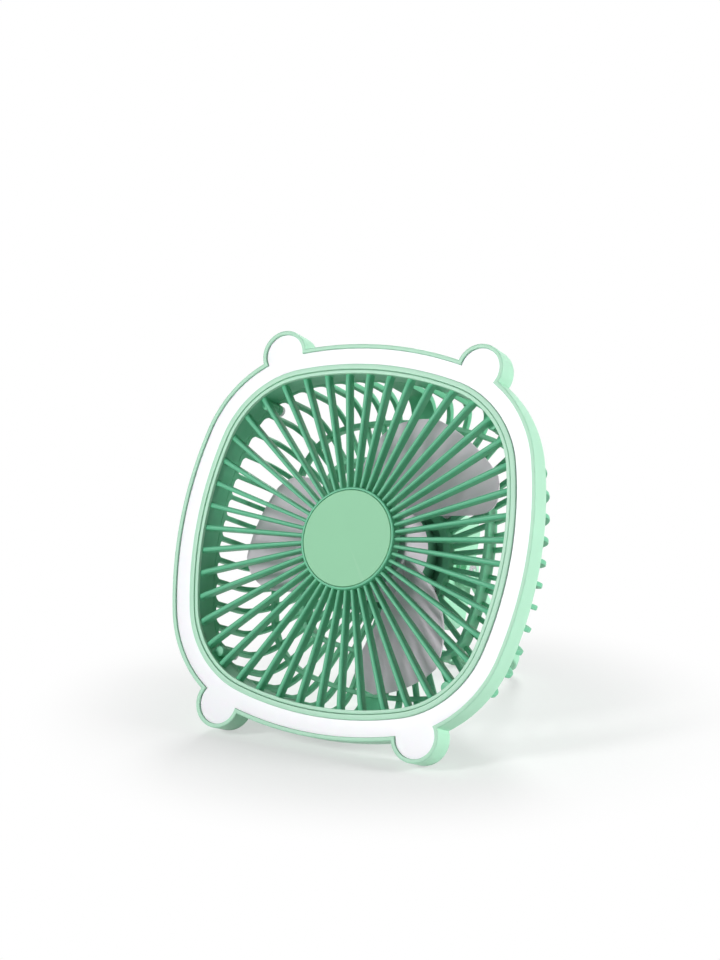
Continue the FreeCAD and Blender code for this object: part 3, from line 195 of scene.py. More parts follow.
def on_face(phi, inset):
    """The outline's point whose normal points at phi, that far inside."""
    quarter = math.floor((phi + math.pi / 4) / (math.pi / 2))
    off = phi - quarter * math.pi / 2
    side, corner = SIDE_RADIUS - inset, CORNER_RADIUS - inset
    if abs(off) <= TURN:
        x, y = -REACH + side * math.cos(off), side * math.sin(off)
    else:
        way = 1 if off > 0 else -1
        x, y = CENTRE + corner * math.cos(off), way * CENTRE + corner * math.sin(off)
    c, s = math.cos(quarter * math.pi / 2), math.sin(quarter * math.pi / 2)
    return x * c - y * s, x * s + y * c


def at_angle(theta, inset):
    """How far the outline lies from the middle in the direction theta, that far inside."""
    off = (theta + math.pi / 4) % (math.pi / 2) - math.pi / 4
    side, corner = SIDE_RADIUS - inset, CORNER_RADIUS - inset
    radius = math.sqrt(side ** 2 - (REACH * math.sin(off)) ** 2) - REACH * math.cos(off)
    if abs(radius * math.sin(off)) > side * math.sin(TURN):
        diagonal = math.hypot(CENTRE, CENTRE)
        tilt = math.pi / 4 - abs(off)
        radius = diagonal * math.cos(tilt) + math.sqrt(
            corner ** 2 - (diagonal * math.sin(tilt)) ** 2)
    return radius


def ear_span(ear, inset):
    """The angles of the outline's normals at which an ear's circle leaves it."""
    def off(phi):
        x, y = on_face(phi, inset)
        return math.hypot(x - ear[0], y - ear[1]) - (EAR_RADIUS - inset)

    middle = min((math.radians(step / 4) for step in range(4 * 360)), key=off)
    ends = []
    for way in (-1, 1):
        low, high = middle, middle + way * EAR_SEARCH
        for _ in range(HALVINGS):
            half = (low + high) / 2
            if off(half) < 0:
                low = half
            else:
                high = half
        ends.append((low + high) / 2)
    return ends


def outline(inset, depth, ears=True):
    """One loop of the face's outline, with its ears or with as many points and no ears."""
    spans = [ear_span(ear, min(inset, EAR_DEEPEST) if ears else RIM) for ear in EARS]
    points = []
    for index, (ear, (low, high)) in enumerate(zip(EARS, spans)):
        before = spans[index - 1][1]
        if low < before:
            before -= 2 * math.pi
        steps = STEPS_SHORT if index % 2 else STEPS_LONG
        points += [on_face(before + (low - before) * (i + 0.5) / steps, inset)
                   for i in range(steps)]
        if ears:
            start, end = on_face(low, inset), on_face(high, inset)
            first = math.atan2(start[1] - ear[1], start[0] - ear[0])
            last = math.atan2(end[1] - ear[1], end[0] - ear[0])
            last += 2 * math.pi if last < first else 0
            points += arc(*ear, EAR_RADIUS - inset, math.degrees(first), math.degrees(last),
                          STEPS_EAR)
        else:
            points += [on_face(low + (high - low) * i / STEPS_EAR, inset)
                       for i in range(STEPS_EAR + 1)]
    return [(x, y, depth) for x, y in points]


def outlines(pairs, ears=True):
    return [outline(inset, depth, ears) for inset, depth in pairs]


def plain(inset, depth):
    """One loop of the outline without ears, evenly spread by its normals."""
    return [(*on_face(2 * math.pi * i / STEPS_ROUND, inset), depth)
            for i in range(STEPS_ROUND)]


def plains(pairs):
    return [plain(inset, depth) for inset, depth in pairs]


# ---- materials

# Noise that drifts the colour, noise for the grain, how far the roughness strays, the pointiness
# from which an edge is lighter, a painted highlight, and the share of colour that it keeps, and
# light under the surface.
DRIFT_SCALE, DRIFT_DETAIL = 35.0, 4.0
GRAIN_DETAIL, GRAIN_DISTANCE = 3.0, 0.0001
ROUGH_SPREAD = 0.06
EDGE_STARTS, EDGE_FULL = 0.50, 0.56
EDGE_KEEPS = 0.6
UNDER_RADIUS, UNDER_SCALE = (0.6, 1.0, 0.7), 0.0015


def linear(r, g, b):
    """A screen colour of 0 to 255 as the shader's colour."""
    def one(v):
        v /= 255
        return v / 12.92 if v <= 0.04045 else ((v + 0.055) / 1.055) ** 2.4
    return (one(r), one(g), one(b), 1.0)


def toned(colour, change):
    return [min(1, change(c)) for c in colour[:3]] + [1]


def wash(name, colour, rough=0.42, fleck=0.05, grain=0.10, grain_scale=1500.0, edge=0.10,
         metal=0.0, subsurface=0.0, gloss=0.5, streak=None):
    """Moulded or metal surface: colour that drifts a little, a fine grain and a painted highlight
    that lightens its edges.
    """
    material = bpy.data.materials.new(name)
    material.use_nodes = True
    nodes, links = material.node_tree.nodes, material.node_tree.links
    shader = nodes["Principled BSDF"]
    shader.inputs["Metallic"].default_value = metal
    shader.inputs["Subsurface Weight"].default_value = subsurface
    shader.inputs["Subsurface Radius"].default_value = UNDER_RADIUS
    shader.inputs["Subsurface Scale"].default_value = UNDER_SCALE
    shader.inputs["Specular IOR Level"].default_value = gloss

    place = nodes.new("ShaderNodeTexCoord")
    drift = nodes.new("ShaderNodeTexNoise")
    drift.inputs["Scale"].default_value = DRIFT_SCALE
    drift.inputs["Detail"].default_value = DRIFT_DETAIL
    links.new(place.outputs["Object"], drift.inputs["Vector"])
    tone = nodes.new("ShaderNodeMixRGB")
    tone.inputs["Color1"].default_value = toned(colour, lambda c: c * (1 - fleck))
    tone.inputs["Color2"].default_value = toned(colour, lambda c: c * (1 + fleck))
    links.new(drift.outputs["Fac"], tone.inputs["Fac"])

    # Painted highlight: sharp edges, found by their pointiness, are mixed toward white.
    painted_highlight_edges = nodes.new("ShaderNodeNewGeometry")
    ramp = nodes.new("ShaderNodeValToRGB")
    ramp.color_ramp.elements[0].position = EDGE_STARTS
    ramp.color_ramp.elements[1].position = EDGE_FULL
    links.new(painted_highlight_edges.outputs["Pointiness"], ramp.inputs["Fac"])
    share = nodes.new("ShaderNodeMath")
    share.operation = "MULTIPLY"
    share.inputs[1].default_value = edge
    links.new(ramp.outputs["Color"], share.inputs[0])
    light = nodes.new("ShaderNodeMixRGB")
    light.inputs["Color2"].default_value = toned(
        colour, lambda c: c * EDGE_KEEPS + 1 - EDGE_KEEPS)
    links.new(share.outputs[0], light.inputs["Fac"])
    links.new(tone.outputs["Color"], light.inputs["Color1"])
    links.new(light.outputs["Color"], shader.inputs["Base Color"])

    fine = nodes.new("ShaderNodeTexNoise")
    fine.inputs["Scale"].default_value = grain_scale
    fine.inputs["Detail"].default_value = GRAIN_DETAIL
    if streak:
        stretch = nodes.new("ShaderNodeMapping")
        stretch.inputs["Scale"].default_value = streak
        links.new(place.outputs["Object"], stretch.inputs["Vector"])
        links.new(stretch.outputs["Vector"], fine.inputs["Vector"])
    else:
        links.new(place.outputs["Object"], fine.inputs["Vector"])
    spread = nodes.new("ShaderNodeMapRange")
    spread.inputs["To Min"].default_value = rough - ROUGH_SPREAD
    spread.inputs["To Max"].default_value = rough + ROUGH_SPREAD
    links.new(fine.outputs["Fac"], spread.inputs["Value"])
    links.new(spread.outputs["Result"], shader.inputs["Roughness"])
    bump = nodes.new("ShaderNodeBump")
    bump.inputs["Strength"].default_value = grain
    bump.inputs["Distance"].default_value = GRAIN_DISTANCE
    links.new(fine.outputs["Fac"], bump.inputs["Height"])
    links.new(bump.outputs["Normal"], shader.inputs["Normal"])
    return material


shell = wash("shell_plastic", linear(162, 223, 189), rough=0.45, subsurface=0.08)
# Painted light: the grille's front ring takes this lighter rim plastic, and its spokes and skirt
# take the darker green below, as lit and shaded copies of one plastic.
rim = wash("rim_plastic", linear(168, 220, 190), rough=0.42, subsurface=0.08)
spoke_green_painted_shade = wash("grille_plastic", linear(98, 190, 147), rough=0.38, gloss=0.3)
cap_green = wash("cap_plastic", linear(134, 204, 158), rough=0.5, grain=0.25,
                 grain_scale=2600.0)
# Painted shade: the cage is the shell's plastic, and this colour is darker than the shell's to
# stand in for the shade inside the cage.
cage_green_painted_shade = wash("cage_plastic", linear(104, 190, 148), rough=0.45, gloss=0.25)
milk = wash("diffuser_plastic", linear(244, 244, 249), rough=0.32, fleck=0.01, edge=0.0,
            grain=0.04, subsurface=0.25)
grey = wash("blade_plastic", linear(218, 203, 215), rough=0.33, fleck=0.02, edge=0.05,
            grain=0.05)
# Painted shade: the motor's cup sits deep inside the cage and is coloured dark green for the shade
# that falls on it there.
bracket_green_painted_shade = wash("bracket_plastic", linear(48, 116, 84), rough=0.45, gloss=0.25)
steel = wash("plated_steel", linear(190, 190, 192), rough=0.28, metal=1.0, grain=0.05)
zinc = wash("zinc_sheet", linear(140, 143, 148), rough=0.4, metal=1.0, streak=(1, 1, 12))
magnet = wash("magnet_grey", linear(58, 58, 61), rough=0.5, metal=0.2)
copper = wash("copper_winding", linear(186, 104, 58), rough=0.35, metal=0.9, grain=0.6,
              grain_scale=900.0, streak=(1, 1, 0.05))
lamination = wash("core_sheets", linear(105, 105, 110), rough=0.5, metal=0.8, grain=0.5,
                  streak=(0.02, 0.02, 3))
mask_white = wash("white_board", linear(232, 232, 226), rough=0.4, grain=0.05)
mask_green = wash("green_board", linear(28, 92, 55), rough=0.3, grain=0.15, fleck=0.25)
phosphor = wash("lamp_phosphor", linear(244, 226, 140), rough=0.3, edge=0.0)
black = wash("switch_black", linear(28, 28, 30), rough=0.45)
foil = wash("cell_foil", linear(176, 180, 186), rough=0.35, metal=0.5, grain=0.4,
            grain_scale=300.0)
foam = wash("foam_tape", linear(226, 226, 220), rough=0.85, grain=0.7, grain_scale=800.0)
nylon = wash("washer_nylon", linear(226, 228, 225), rough=0.5)
button_green = wash("button_plastic", linear(165, 228, 192), rough=0.4, grain=0.2)


# ---- the frame, its light and the grille

OUTER_LIP = ((RIM, CHANNEL), (RIM, 0.6), (RIM - 0.05, 0.83), (RIM - 0.18, 0.96),
             (RIM - 0.35, LIP), (0.55, LIP), (0.32, 0.95), (0.12, 0.82), (0.03, 0.65),
             (0, 0.4), (0, -3.0), (0, -7.0), (0, FRAME_BACK + BACK_ROUND))
INNER_LIP = ((OPENING + LEDGE_WIDTH, FRAME_BACK), (OPENING + LEDGE_WIDTH, LEDGE),
             (OPENING, LEDGE), (OPENING, 0.6), (OPENING - 0.1, 0.85), (OPENING - 0.35, LIP),
             (LIGHT_END + 0.35, LIP), (LIGHT_END + 0.1, 0.85), (LIGHT_END, 0.6),
             (LIGHT_END, CHANNEL))


def front_frame():
    back = [(BACK_ROUND * (1 - math.cos(a)), FRAME_BACK + BACK_ROUND * (1 - math.sin(a)))
            for a in [math.radians(d) for d in range(15, 91, 15)]]
    form = Mesh()
    form.loops(outlines([*OUTER_LIP, *back]) + outlines(INNER_LIP, ears=False), wrap=True)
    form.add("frame_shell", "housing", rim, "shell_green", ("front_frame",))


def light_diffuser():
    soft = DIFFUSER_SOFT
    edge, end = RIM + SEAM, LIGHT_END - SEAM
    rows = outlines([(edge, DIFFUSER_BACK), (edge, -soft), (edge + soft, 0.0)])
    rows += outlines([(end - soft, 0.0), (end, -soft), (end, DIFFUSER_BACK)], ears=False)
    form = Mesh()
    form.loops(rows, wrap=True)
    form.add("light_panel", "housing", milk, "diffuser_white", ("light_diffuser",), sharp=50)


SPOKES = 45
SPOKE_TOP, SPOKE_LOW = -0.3, -5.5
SPOKE_HALF, SPOKE_GROWTH = 0.9, 0.35
SPOKE_ROUND, SPOKE_SOFT = 1.15, 0.25
SPOKE_IN_HUB, SPOKE_IN_RING = 0.8, 0.6
DIP_WIDTH, DIP_DEEP = 5.0, 0.7
BAR_STEPS, DIP_STEPS = 6, 8
FLARE, FLARE_LENGTH = 0.25, 1.1
HUB = 24.5
RING_OUT = OPENING + GAP
RING_WIDTH = 1.85
RING_IN = RING_OUT + RING_WIDTH
RING_SPLIT = -1.2
SKIRT = OPENING + LEDGE_WIDTH + GAP
SKIRT_BACK = -13.85
POST = 61.2

RING_FRONT = ((RING_OUT, RING_SPLIT), (RING_OUT, 0.3), (RING_OUT + 0.1, 0.5),
              (RING_OUT + 0.3, 0.6), (RING_IN - 0.3, 0.6), (RING_IN - 0.1, 0.5),
              (RING_IN, 0.3), (RING_IN, RING_SPLIT))
RING_BACK = ((RING_OUT, LEDGE), (RING_OUT, RING_SPLIT), (RING_IN, RING_SPLIT),
             (RING_IN, -7.7), (RING_IN, SKIRT_BACK + 0.25), (RING_IN - 0.2, SKIRT_BACK),
             (SKIRT + 0.2, SKIRT_BACK), (SKIRT, SKIRT_BACK + 0.25), (SKIRT, LEDGE))
HUB_FLOOR = ((22.5, -6.0), (22.5, -2.6), (0.0, -2.6))
HUB_WALL = ((22.5, -6.0), (24.1, -6.0), (24.4, -5.9), (HUB, -5.6), (HUB, 0.4), (24.42, 0.7),
            (24.2, 0.9), (23.9, LIP), (23.55, LIP), (23.35, 0.92), (23.25, 0.7),
            (23.25, -0.6), (0.0, -0.6))
GRILLE_POST = ((0.0, -5.0), (2.2, -5.0), (2.5, -5.15), (2.6, -5.5), (2.6, -13.7),
               (2.4, -13.98), (1.6, -13.98), (1.5, -13.8), (1.5, -6.0), (0.0, -6.0))
CAP = ((0.0, -0.58), (22.9, -0.58), (23.1, -0.4), (23.1, 0.6), (23.04, 0.82), (22.9, 0.95),
       (22.7, LIP), (0.0, LIP))


def spoke(form, theta):
    """A bar with a round top that widens outward and dips and flares where it meets the ring."""
    ring = at_angle(theta, RING_IN)
    dip = at_angle(theta, RING_IN + DIP_WIDTH)
    start, end = HUB - SPOKE_IN_HUB, ring + SPOKE_IN_RING
    stations = [start + (dip - start) * i / BAR_STEPS for i in range(BAR_STEPS + 1)]
    stations += [dip + (end - dip) * i / DIP_STEPS for i in range(1, DIP_STEPS + 1)]
    c, s = math.cos(theta), math.sin(theta)
    rows = []
    for radius in stations:
        share = max(0.0, min(1.0, (radius - dip) / (ring - dip)))
        top = SPOKE_TOP - DIP_DEEP * share * share
        flare = max(0.0, 1 - (ring - radius) / FLARE_LENGTH)
        half = (SPOKE_HALF + SPOKE_GROWTH * (radius - HUB) / (end - HUB)
                + FLARE * flare * flare)
        spring = top - SPOKE_ROUND
        section = [(-half + SPOKE_SOFT, SPOKE_LOW), (half - SPOKE_SOFT, SPOKE_LOW),
                   (half, SPOKE_LOW + SPOKE_SOFT), (half, spring)]
        section += [(half * math.cos(a), spring + SPOKE_ROUND * math.sin(a))
                    for a in [math.radians(d) for d in range(15, 166, 15)]]
        section += [(-half, spring), (-half, SPOKE_LOW + SPOKE_SOFT)]
        rows.append([(radius * c - w * s, radius * s + w * c, z) for w, z in section])
    form.loops(rows, caps=True)


def four_posts(form, profile, wrap=False):
    for x in (-POST, POST):
        for y in (-POST, POST):
            form.turned(profile, POST_STEPS, at=(x, y), wrap=wrap)


def front_grille():
    ring = Mesh()
    ring.loops(plains(RING_FRONT), wrap=True)
    # Painted light: the ring is painted in the lighter plastic and the spokes and skirt in the
    # darker one, as lit and shaded copies of one plastic.
    ring.add("grille_rim", "housing", rim, "grille_green")
    form = Mesh()
    form.loops(plains(RING_BACK), wrap=True)
    for index in range(SPOKES):
        spoke(form, math.radians(270 + 360 * index / SPOKES))
    form.turned(HUB_FLOOR, CUP_STEPS)
    form.turned(HUB_WALL, HUB_STEPS)
    four_posts(form, GRILLE_POST)
    form.add("radial_grille", "housing", spoke_green_painted_shade, "grille_green", ("front_grille",))


def centre_cap():
    form = Mesh()
    form.turned(CAP, HUB_STEPS)
    form.add("hub_cap", "housing", cap_green, "cap_green", ("grille_centre_cap",))


# ---- the rear cage

RIBS = 48
PITCH = 360 / RIBS
PILLARS = (90, 270)
PILLAR_WIDTH, PILLAR_END = 13.0, 24.0
RIB_WIDTH, RIB_END = 2.4, 28.0
RIB_SOFT, RIB_EDGE = 0.5, 0.15
CAGE_OUT = 11.4
WALL, WALL_GROWTH = 3.0, 0.5
BACK = 58.0
SHOULDER = 17.0
SHOULDER_STEPS, BACK_STEPS = 14, 6
COLLAR_STEPS = 12
WINDOW_ROUND = 2.2

# Depths down the cage's straight side, the collar's section with whether a point belongs to its
# lower edge, and the inset and front of each ring.
CAGE_SIDE = (-14.6, -17.0, -24.0, -32.5)
CAGE_IN = CAGE_OUT + WALL
COLLAR = ((CAGE_OUT + 0.3, -14.05, False), (CAGE_OUT, -14.35, False),
          (CAGE_OUT, -16.6, True), (CAGE_OUT + 0.4, -17.0, True),
          (CAGE_IN - 0.4, -17.0, True), (CAGE_IN, -16.6, True),
          (CAGE_IN, -14.35, False), (CAGE_IN - 0.3, -14.05, False))
CAGE_RINGS = ((24.4, -53.0), (44.0, -48.0))
CAGE_RING_WIDTH, CAGE_RING_SOFT = 2.4, 0.4
CAGE_RING_BACK, CAGE_RING_EDGE = 0.02 - BACK, 0.35 - BACK
LUG = ((1.55, -14.0), (2.9, -14.0), (2.9, -16.8), (2.7, -17.0), (1.55, -17.0))
BRACKET_SEAT = ((26.0, -55.6), (26.0, -50.3), (26.3, -50.0), (29.5, -50.0), (29.8, -50.3),
                (29.8, -55.6))
PLATE_X, PLATE_Y, PLATE_CORNER = 26.5, 29, 8
PLATE = ((0.3, -55.5), (0, -55.8), (0, -57.98))
CORNER_STEPS = 8


def from_pillar(degrees):
    """The angle from a direction to the nearer of the two pillars."""
    return min(abs((degrees - pillar + 180) % 360 - 180) for pillar in PILLARS)


def cage_path():
    """Inset and depth of the cage's outside down its side and over its shoulder, with normals."""
    path = [(CAGE_OUT, depth, 1.0, 0.0) for depth in CAGE_SIDE]
    for i in range(SHOULDER_STEPS + 1):
        a = math.pi / 2 * i / SHOULDER_STEPS
        path.append((CAGE_OUT + SHOULDER * (1 - math.cos(a)),
                     SHOULDER - BACK - SHOULDER * math.sin(a), math.cos(a), math.sin(a)))
    return path


def rib(form, theta, width, last):
    """One rib: a soft-edged bar down the side, over the shoulder and in to the middle."""
    half, soft, edge = width / 2, RIB_SOFT, RIB_EDGE
    section = [(-half + soft, 0.0), (0.0, 0.0), (half - soft, 0.0), (half - edge, edge),
               (half, soft), (half, WALL / 2), (half, WALL - soft), (half - edge, WALL - edge),
               (half - soft, WALL), (0.0, WALL), (-half + soft, WALL),
               (-half + edge, WALL - edge), (-half, WALL - soft), (-half, WALL / 2),
               (-half, soft), (-half + edge, edge)]
    stations = []
    for inset, depth, out, down in cage_path():
        radius, inside = at_angle(theta, inset), at_angle(theta, inset + WALL)
        stations.append((radius, depth, (inside - radius) / WALL * out, down))
    start = stations[-1][0]
    stations += [(start + (last - start) * i / BACK_STEPS, -BACK, 0.0, 1.0)
                 for i in range(1, BACK_STEPS + 1)]
    c, s = math.cos(theta), math.sin(theta)
    rows = []
    for radius, depth, inward, down in stations:
        thick = WALL + WALL_GROWTH * down
        row = []
        for across, under in section:
            share = under / WALL * thick
            reach = radius + inward * share
            row.append((reach * c - across * s, reach * s + across * c, depth + down * share))
        rows.append(row)
    form.loops(rows, caps=True)


def window_rise(degrees, reach):
    """How far the collar's lower edge draws back to round a window's corners into its ribs."""
    off = from_pillar(degrees)
    if off < 0.5 * PITCH:
        return 0.0
    away = (degrees / PITCH - 0.5) % 1.0
    gap = min(away, 1 - away) * math.radians(PITCH) * reach - RIB_WIDTH / 2
    if off <= 1.5 * PITCH:
        beside = math.radians(off) * reach - PILLAR_WIDTH / 2
        gap = min(gap, beside) if off > PITCH else beside
    d = min(max(gap, 0.0), WINDOW_ROUND)
    return WINDOW_ROUND - math.sqrt(WINDOW_ROUND ** 2 - (WINDOW_ROUND - d) ** 2)


def collar(form):
    """The cage's rim."""
    angles = [(index + 0.5 + step / COLLAR_STEPS) * PITCH
              for index in range(RIBS) for step in range(COLLAR_STEPS)]
    rows = []
    for inset, depth, lower in COLLAR:
        row = []
        for degrees in angles:
            theta = math.radians(degrees)
            reach = at_angle(theta, inset)
            rise = window_rise(degrees, reach) if lower else 0.0
            row.append((reach * math.cos(theta), reach * math.sin(theta), depth - rise))
        rows.append(row)
    form.loops(rows, wrap=True)


def cage_ring(form, inset, front):
    """A band through the ribs over the back, with soft edges."""
    last, soft = inset + CAGE_RING_WIDTH, CAGE_RING_SOFT
    form.loops(plains((
        (inset, front - soft), (inset + soft, front), (last - soft, front),
        (last, front - soft), (last, CAGE_RING_EDGE), (last - soft, CAGE_RING_BACK),
        (inset + soft, CAGE_RING_BACK), (inset, CAGE_RING_EDGE))), wrap=True)


def back_plate(form):
    """The plate that the control box is screwed to."""
    rows = []
    for shrink, depth in PLATE:
        rows.append([(x, y, depth) for x, y in box_corners(
            PLATE_X - shrink, PLATE_Y - shrink, PLATE_CORNER - shrink, CORNER_STEPS)])
    form.loops(rows, caps=True)


def rear_cage():
    form = Mesh()
    collar(form)
    for index in range(RIBS):
        degrees = (index + 0.5) * PITCH
        if from_pillar(degrees) > PITCH:
            rib(form, math.radians(degrees), RIB_WIDTH, RIB_END)
    for degrees in PILLARS:
        rib(form, math.radians(degrees), PILLAR_WIDTH, PILLAR_END)
    for inset, front in CAGE_RINGS:
        cage_ring(form, inset, front)
    back_plate(form)
    form.turned(BRACKET_SEAT, CUP_STEPS, wrap=True)
    four_posts(form, LUG, wrap=True)
    form.add("ribbed_cage", "housing", cage_green_painted_shade, "shell_green", ("rear_cage",))


# ---- the rotor and the motor's cup

ROTOR_CUP = ((0.0, -14.0), (22.9, -14.0), (23.6, -14.12), (24.1, -14.45), (24.4, -15.0),
             (24.5, -15.6), (24.5, -36.6), (24.3, -36.95), (24.0, -37.0), (23.2, -37.0),
             (22.95, -36.8), (22.9, -36.4), (22.9, -15.6), (0.0, -15.6))
BLADES = 3
LEAD_ROOT, LEAD_SWEEP, LEAD_CURL, LEAD_CORNER = 47.0, 52.0, 30.0, 13.0
TRAIL_ROOT, TRAIL_SWEEP, TRAIL_CORNER = 110.0, 29.0, 11.0
BLADE_FRONT, TIP_DROP = 15.0, 10.0
BLADE_BACK, ROOT_RISE, TIP_RISE = 37.5, 3.5, 2.0
BLADE_THICK, BLADE_SOFT, BLADE_FOLD = 1.6, 0.7, 50
BLADE_ROOT, BLADE_TIP = 23.9, 69.4
ALONG, ACROSS = 30, 36
CAMBER = 0.06


def blade_edges(out):
    """The blade's two edges in degrees and their two depths, from its root, 0, to its tip, 1."""
    leading = LEAD_ROOT - LEAD_SWEEP * out + LEAD_CURL * out ** 2 + LEAD_CORNER * out ** 8
    trailing = TRAIL_ROOT - TRAIL_SWEEP * out - TRAIL_CORNER * out ** 6
    fore = BLADE_FRONT + TIP_DROP * out ** 6
    aft = BLADE_BACK - ROOT_RISE * (1 - out) ** 3 - TIP_RISE * out ** 6
    return leading, trailing, fore, aft


def blade(index):
    rows = []
    for step in range(ALONG + 1):
        out = step / ALONG
        leading, trailing, fore, aft = blade_edges(out)
        reach = BLADE_ROOT + (BLADE_TIP - BLADE_ROOT) * out
        row = []
        for stop in range(ACROSS + 1):
            across = stop / ACROSS
            angle = math.radians(trailing + (leading - trailing) * across
                                 + 360 / BLADES * index)
            bend = across + CAMBER * math.sin(math.pi * across)
            row.append((reach * math.cos(angle), reach * math.sin(angle),
                        -fore - (aft - fore) * bend))
        rows.append(row)
    wing = Mesh()
    wing.loops(rows, closed=False)
    piece = wing.add(f"rotor_blade_{index + 1}", "rotor", grey, "blade_grey", sharp=80)
    thick = piece.modifiers.new("thickness", "SOLIDIFY")
    thick.thickness = BLADE_THICK / MM
    thick.offset = -1.0
    soft = piece.modifiers.new("edges", "BEVEL")
    soft.width = BLADE_SOFT / MM
    soft.segments = 3
    soft.limit_method = "ANGLE"
    soft.angle_limit = math.radians(BLADE_FOLD)


def rotor():
    form = Mesh()
    form.turned(ROTOR_CUP, HUB_STEPS)
    form.add("rotor_hub", "rotor", grey, "blade_grey", ("fan_blades",))
    for index in range(BLADES):
        blade(index)


MOTOR_CUP = ((4.0, -52.0), (22.2, -52.0), (22.5, -51.7), (22.5, -38.8), (22.3, -38.5),
             (21.2, -38.5), (21.0, -38.8), (21.0, -50.5), (7.0, -50.5), (7.0, -41.0),
             (5.5, -41.0), (5.5, -22.2), (5.3, -22.0), (4.0, -22.0))
TABS = (90, 210, 330)
TAB_ROOT, TAB_SCREW, TAB_HALF = 21.8, 28.0, 3.2
TAB_DEPTHS = ((-50.0, 0.0), (-48.7, 0.0), (-48.4, 0.3))


def motor_cup():
    form = Mesh()
    form.turned(MOTOR_CUP, CUP_STEPS, wrap=True)
    shape = [(TAB_ROOT, -TAB_HALF), (TAB_SCREW, -TAB_HALF),
             *arc(TAB_SCREW, 0, TAB_HALF, -80, 80, 10),
             (TAB_SCREW, TAB_HALF), (TAB_ROOT, TAB_HALF)]
    for degrees in TABS:
        c, s = math.cos(math.radians(degrees)), math.sin(math.radians(degrees))
        rows = []
        for depth, shrink in TAB_DEPTHS:
            row = []
            for x, y in shape:
                x -= shrink if x > TAB_ROOT else 0.0
                y *= 1 - shrink / TAB_HALF
                row.append((x * c - y * s, x * s + y * c, depth))
            rows.append(row)
        form.loops(rows, caps=True)
    form.add("motor_mount", "housing", bracket_green_painted_shade, "bracket_green", ("motor_bracket",))


# ---- the bail

BAIL_OUT, BAIL_REACH = 32.2, 90.0
BAR, BAR_WIDTH, BAR_SOFT = 3.4, 6.5, 1.13
BEND, BEND_STEPS, BAR_CORNER_STEPS = 9.3, 10, 5
GRIP = ((-14.0, 0.0), (-10.6, 0.0), (-10.1, -0.15), (-9.4, -1.3), (-8.8, -1.5), (0.0, -1.5))
EYE = ((2.5, 28.8), (7.2, 28.8), (7.55, 28.95), (7.7, 29.3), (7.7, 31.6), (7.55, 32.0),
       (7.2, 32.2), (4.5, 32.2), (4.4, 32.1), (4.4, 30.5), (2.5, 30.5))


def bail():
    form = Mesh()
    middle, low = BAIL_OUT - BAR / 2, BAR / 2 - BAIL_REACH
    line = [(-middle, 0.0), (-middle, low * 0.5), (-middle, low + BEND)]
    line += arc(-middle + BEND, low + BEND, BEND, 180, 270, BEND_STEPS)[1:]
    line += [(x, low + z) for x, z in GRIP]
    line += [(-x, z) for x, z in reversed(line[:-1])]
    section = box_corners(BAR / 2, BAR_WIDTH / 2, BAR_SOFT, BAR_CORNER_STEPS)
    rows = []
    for i, (x, z) in enumerate(line):
        before, after = line[max(i - 1, 0)], line[min(i + 1, len(line) - 1)]
        tx, tz = after[0] - before[0], after[1] - before[1]
        size = math.hypot(tx, tz)
        nx, nz = tz / size, -tx / size
        rows.append([(x + u * nx, v, z + u * nz) for u, v in section])
    form.loops(rows, caps=True)
    for way in (-1, 1):
        form.turned([(radius, way * place) for radius, place in EYE], EYE_STEPS, wrap=True,
                    along="x")
    form.add("bail_bar", "bail", shell, "shell_green", ("carry_handle",), place=BAIL)


front_frame()
light_diffuser()
front_grille()
centre_cap()
rear_cage()
rotor()
motor_cup()
bail()

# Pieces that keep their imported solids.
FINISH = {
    "light_strip": mask_white, "light_chips": phosphor, "cage_screws": steel,
    "box_screws": steel, "motor_screws": steel, "motor_bearings": steel,
    "motor_driver": mask_green, "stator_core": lamination, "stator_coils": copper,
    "motor_shaft": steel, "shaft_clip": steel, "rotor_can": zinc, "magnet_ring": magnet,
    "control_box": shell, "control_board": mask_green, "usb_socket": steel,
    "tact_switches": black, "fan_button": button_green, "light_button": button_green,
    "battery_pack": foil, "battery_tape": foam, "handle_washers": nylon,
    "handle_pins": steel, "pin_nuts": steel,
}
for name, material in FINISH.items():
    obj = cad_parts[name]
    obj.data.materials.clear()
    obj.data.materials.append(material)


# ---- floor, light and camera

WHITE = (1, 1, 1, 1)


def seen_directly(tree):
    """1 for the camera's, glossy and transmission rays, which see the white ground, and else 0."""
    rays = tree.nodes.new("ShaderNodeLightPath")
    seen = rays.outputs["Is Camera Ray"]
    for kind in ("Is Glossy Ray", "Is Transmission Ray"):
        either = tree.nodes.new("ShaderNodeMath")
        either.operation = "MAXIMUM"
        tree.links.new(seen, either.inputs[0])
        tree.links.new(rays.outputs[kind], either.inputs[1])
        seen = either.outputs[0]
    return seen


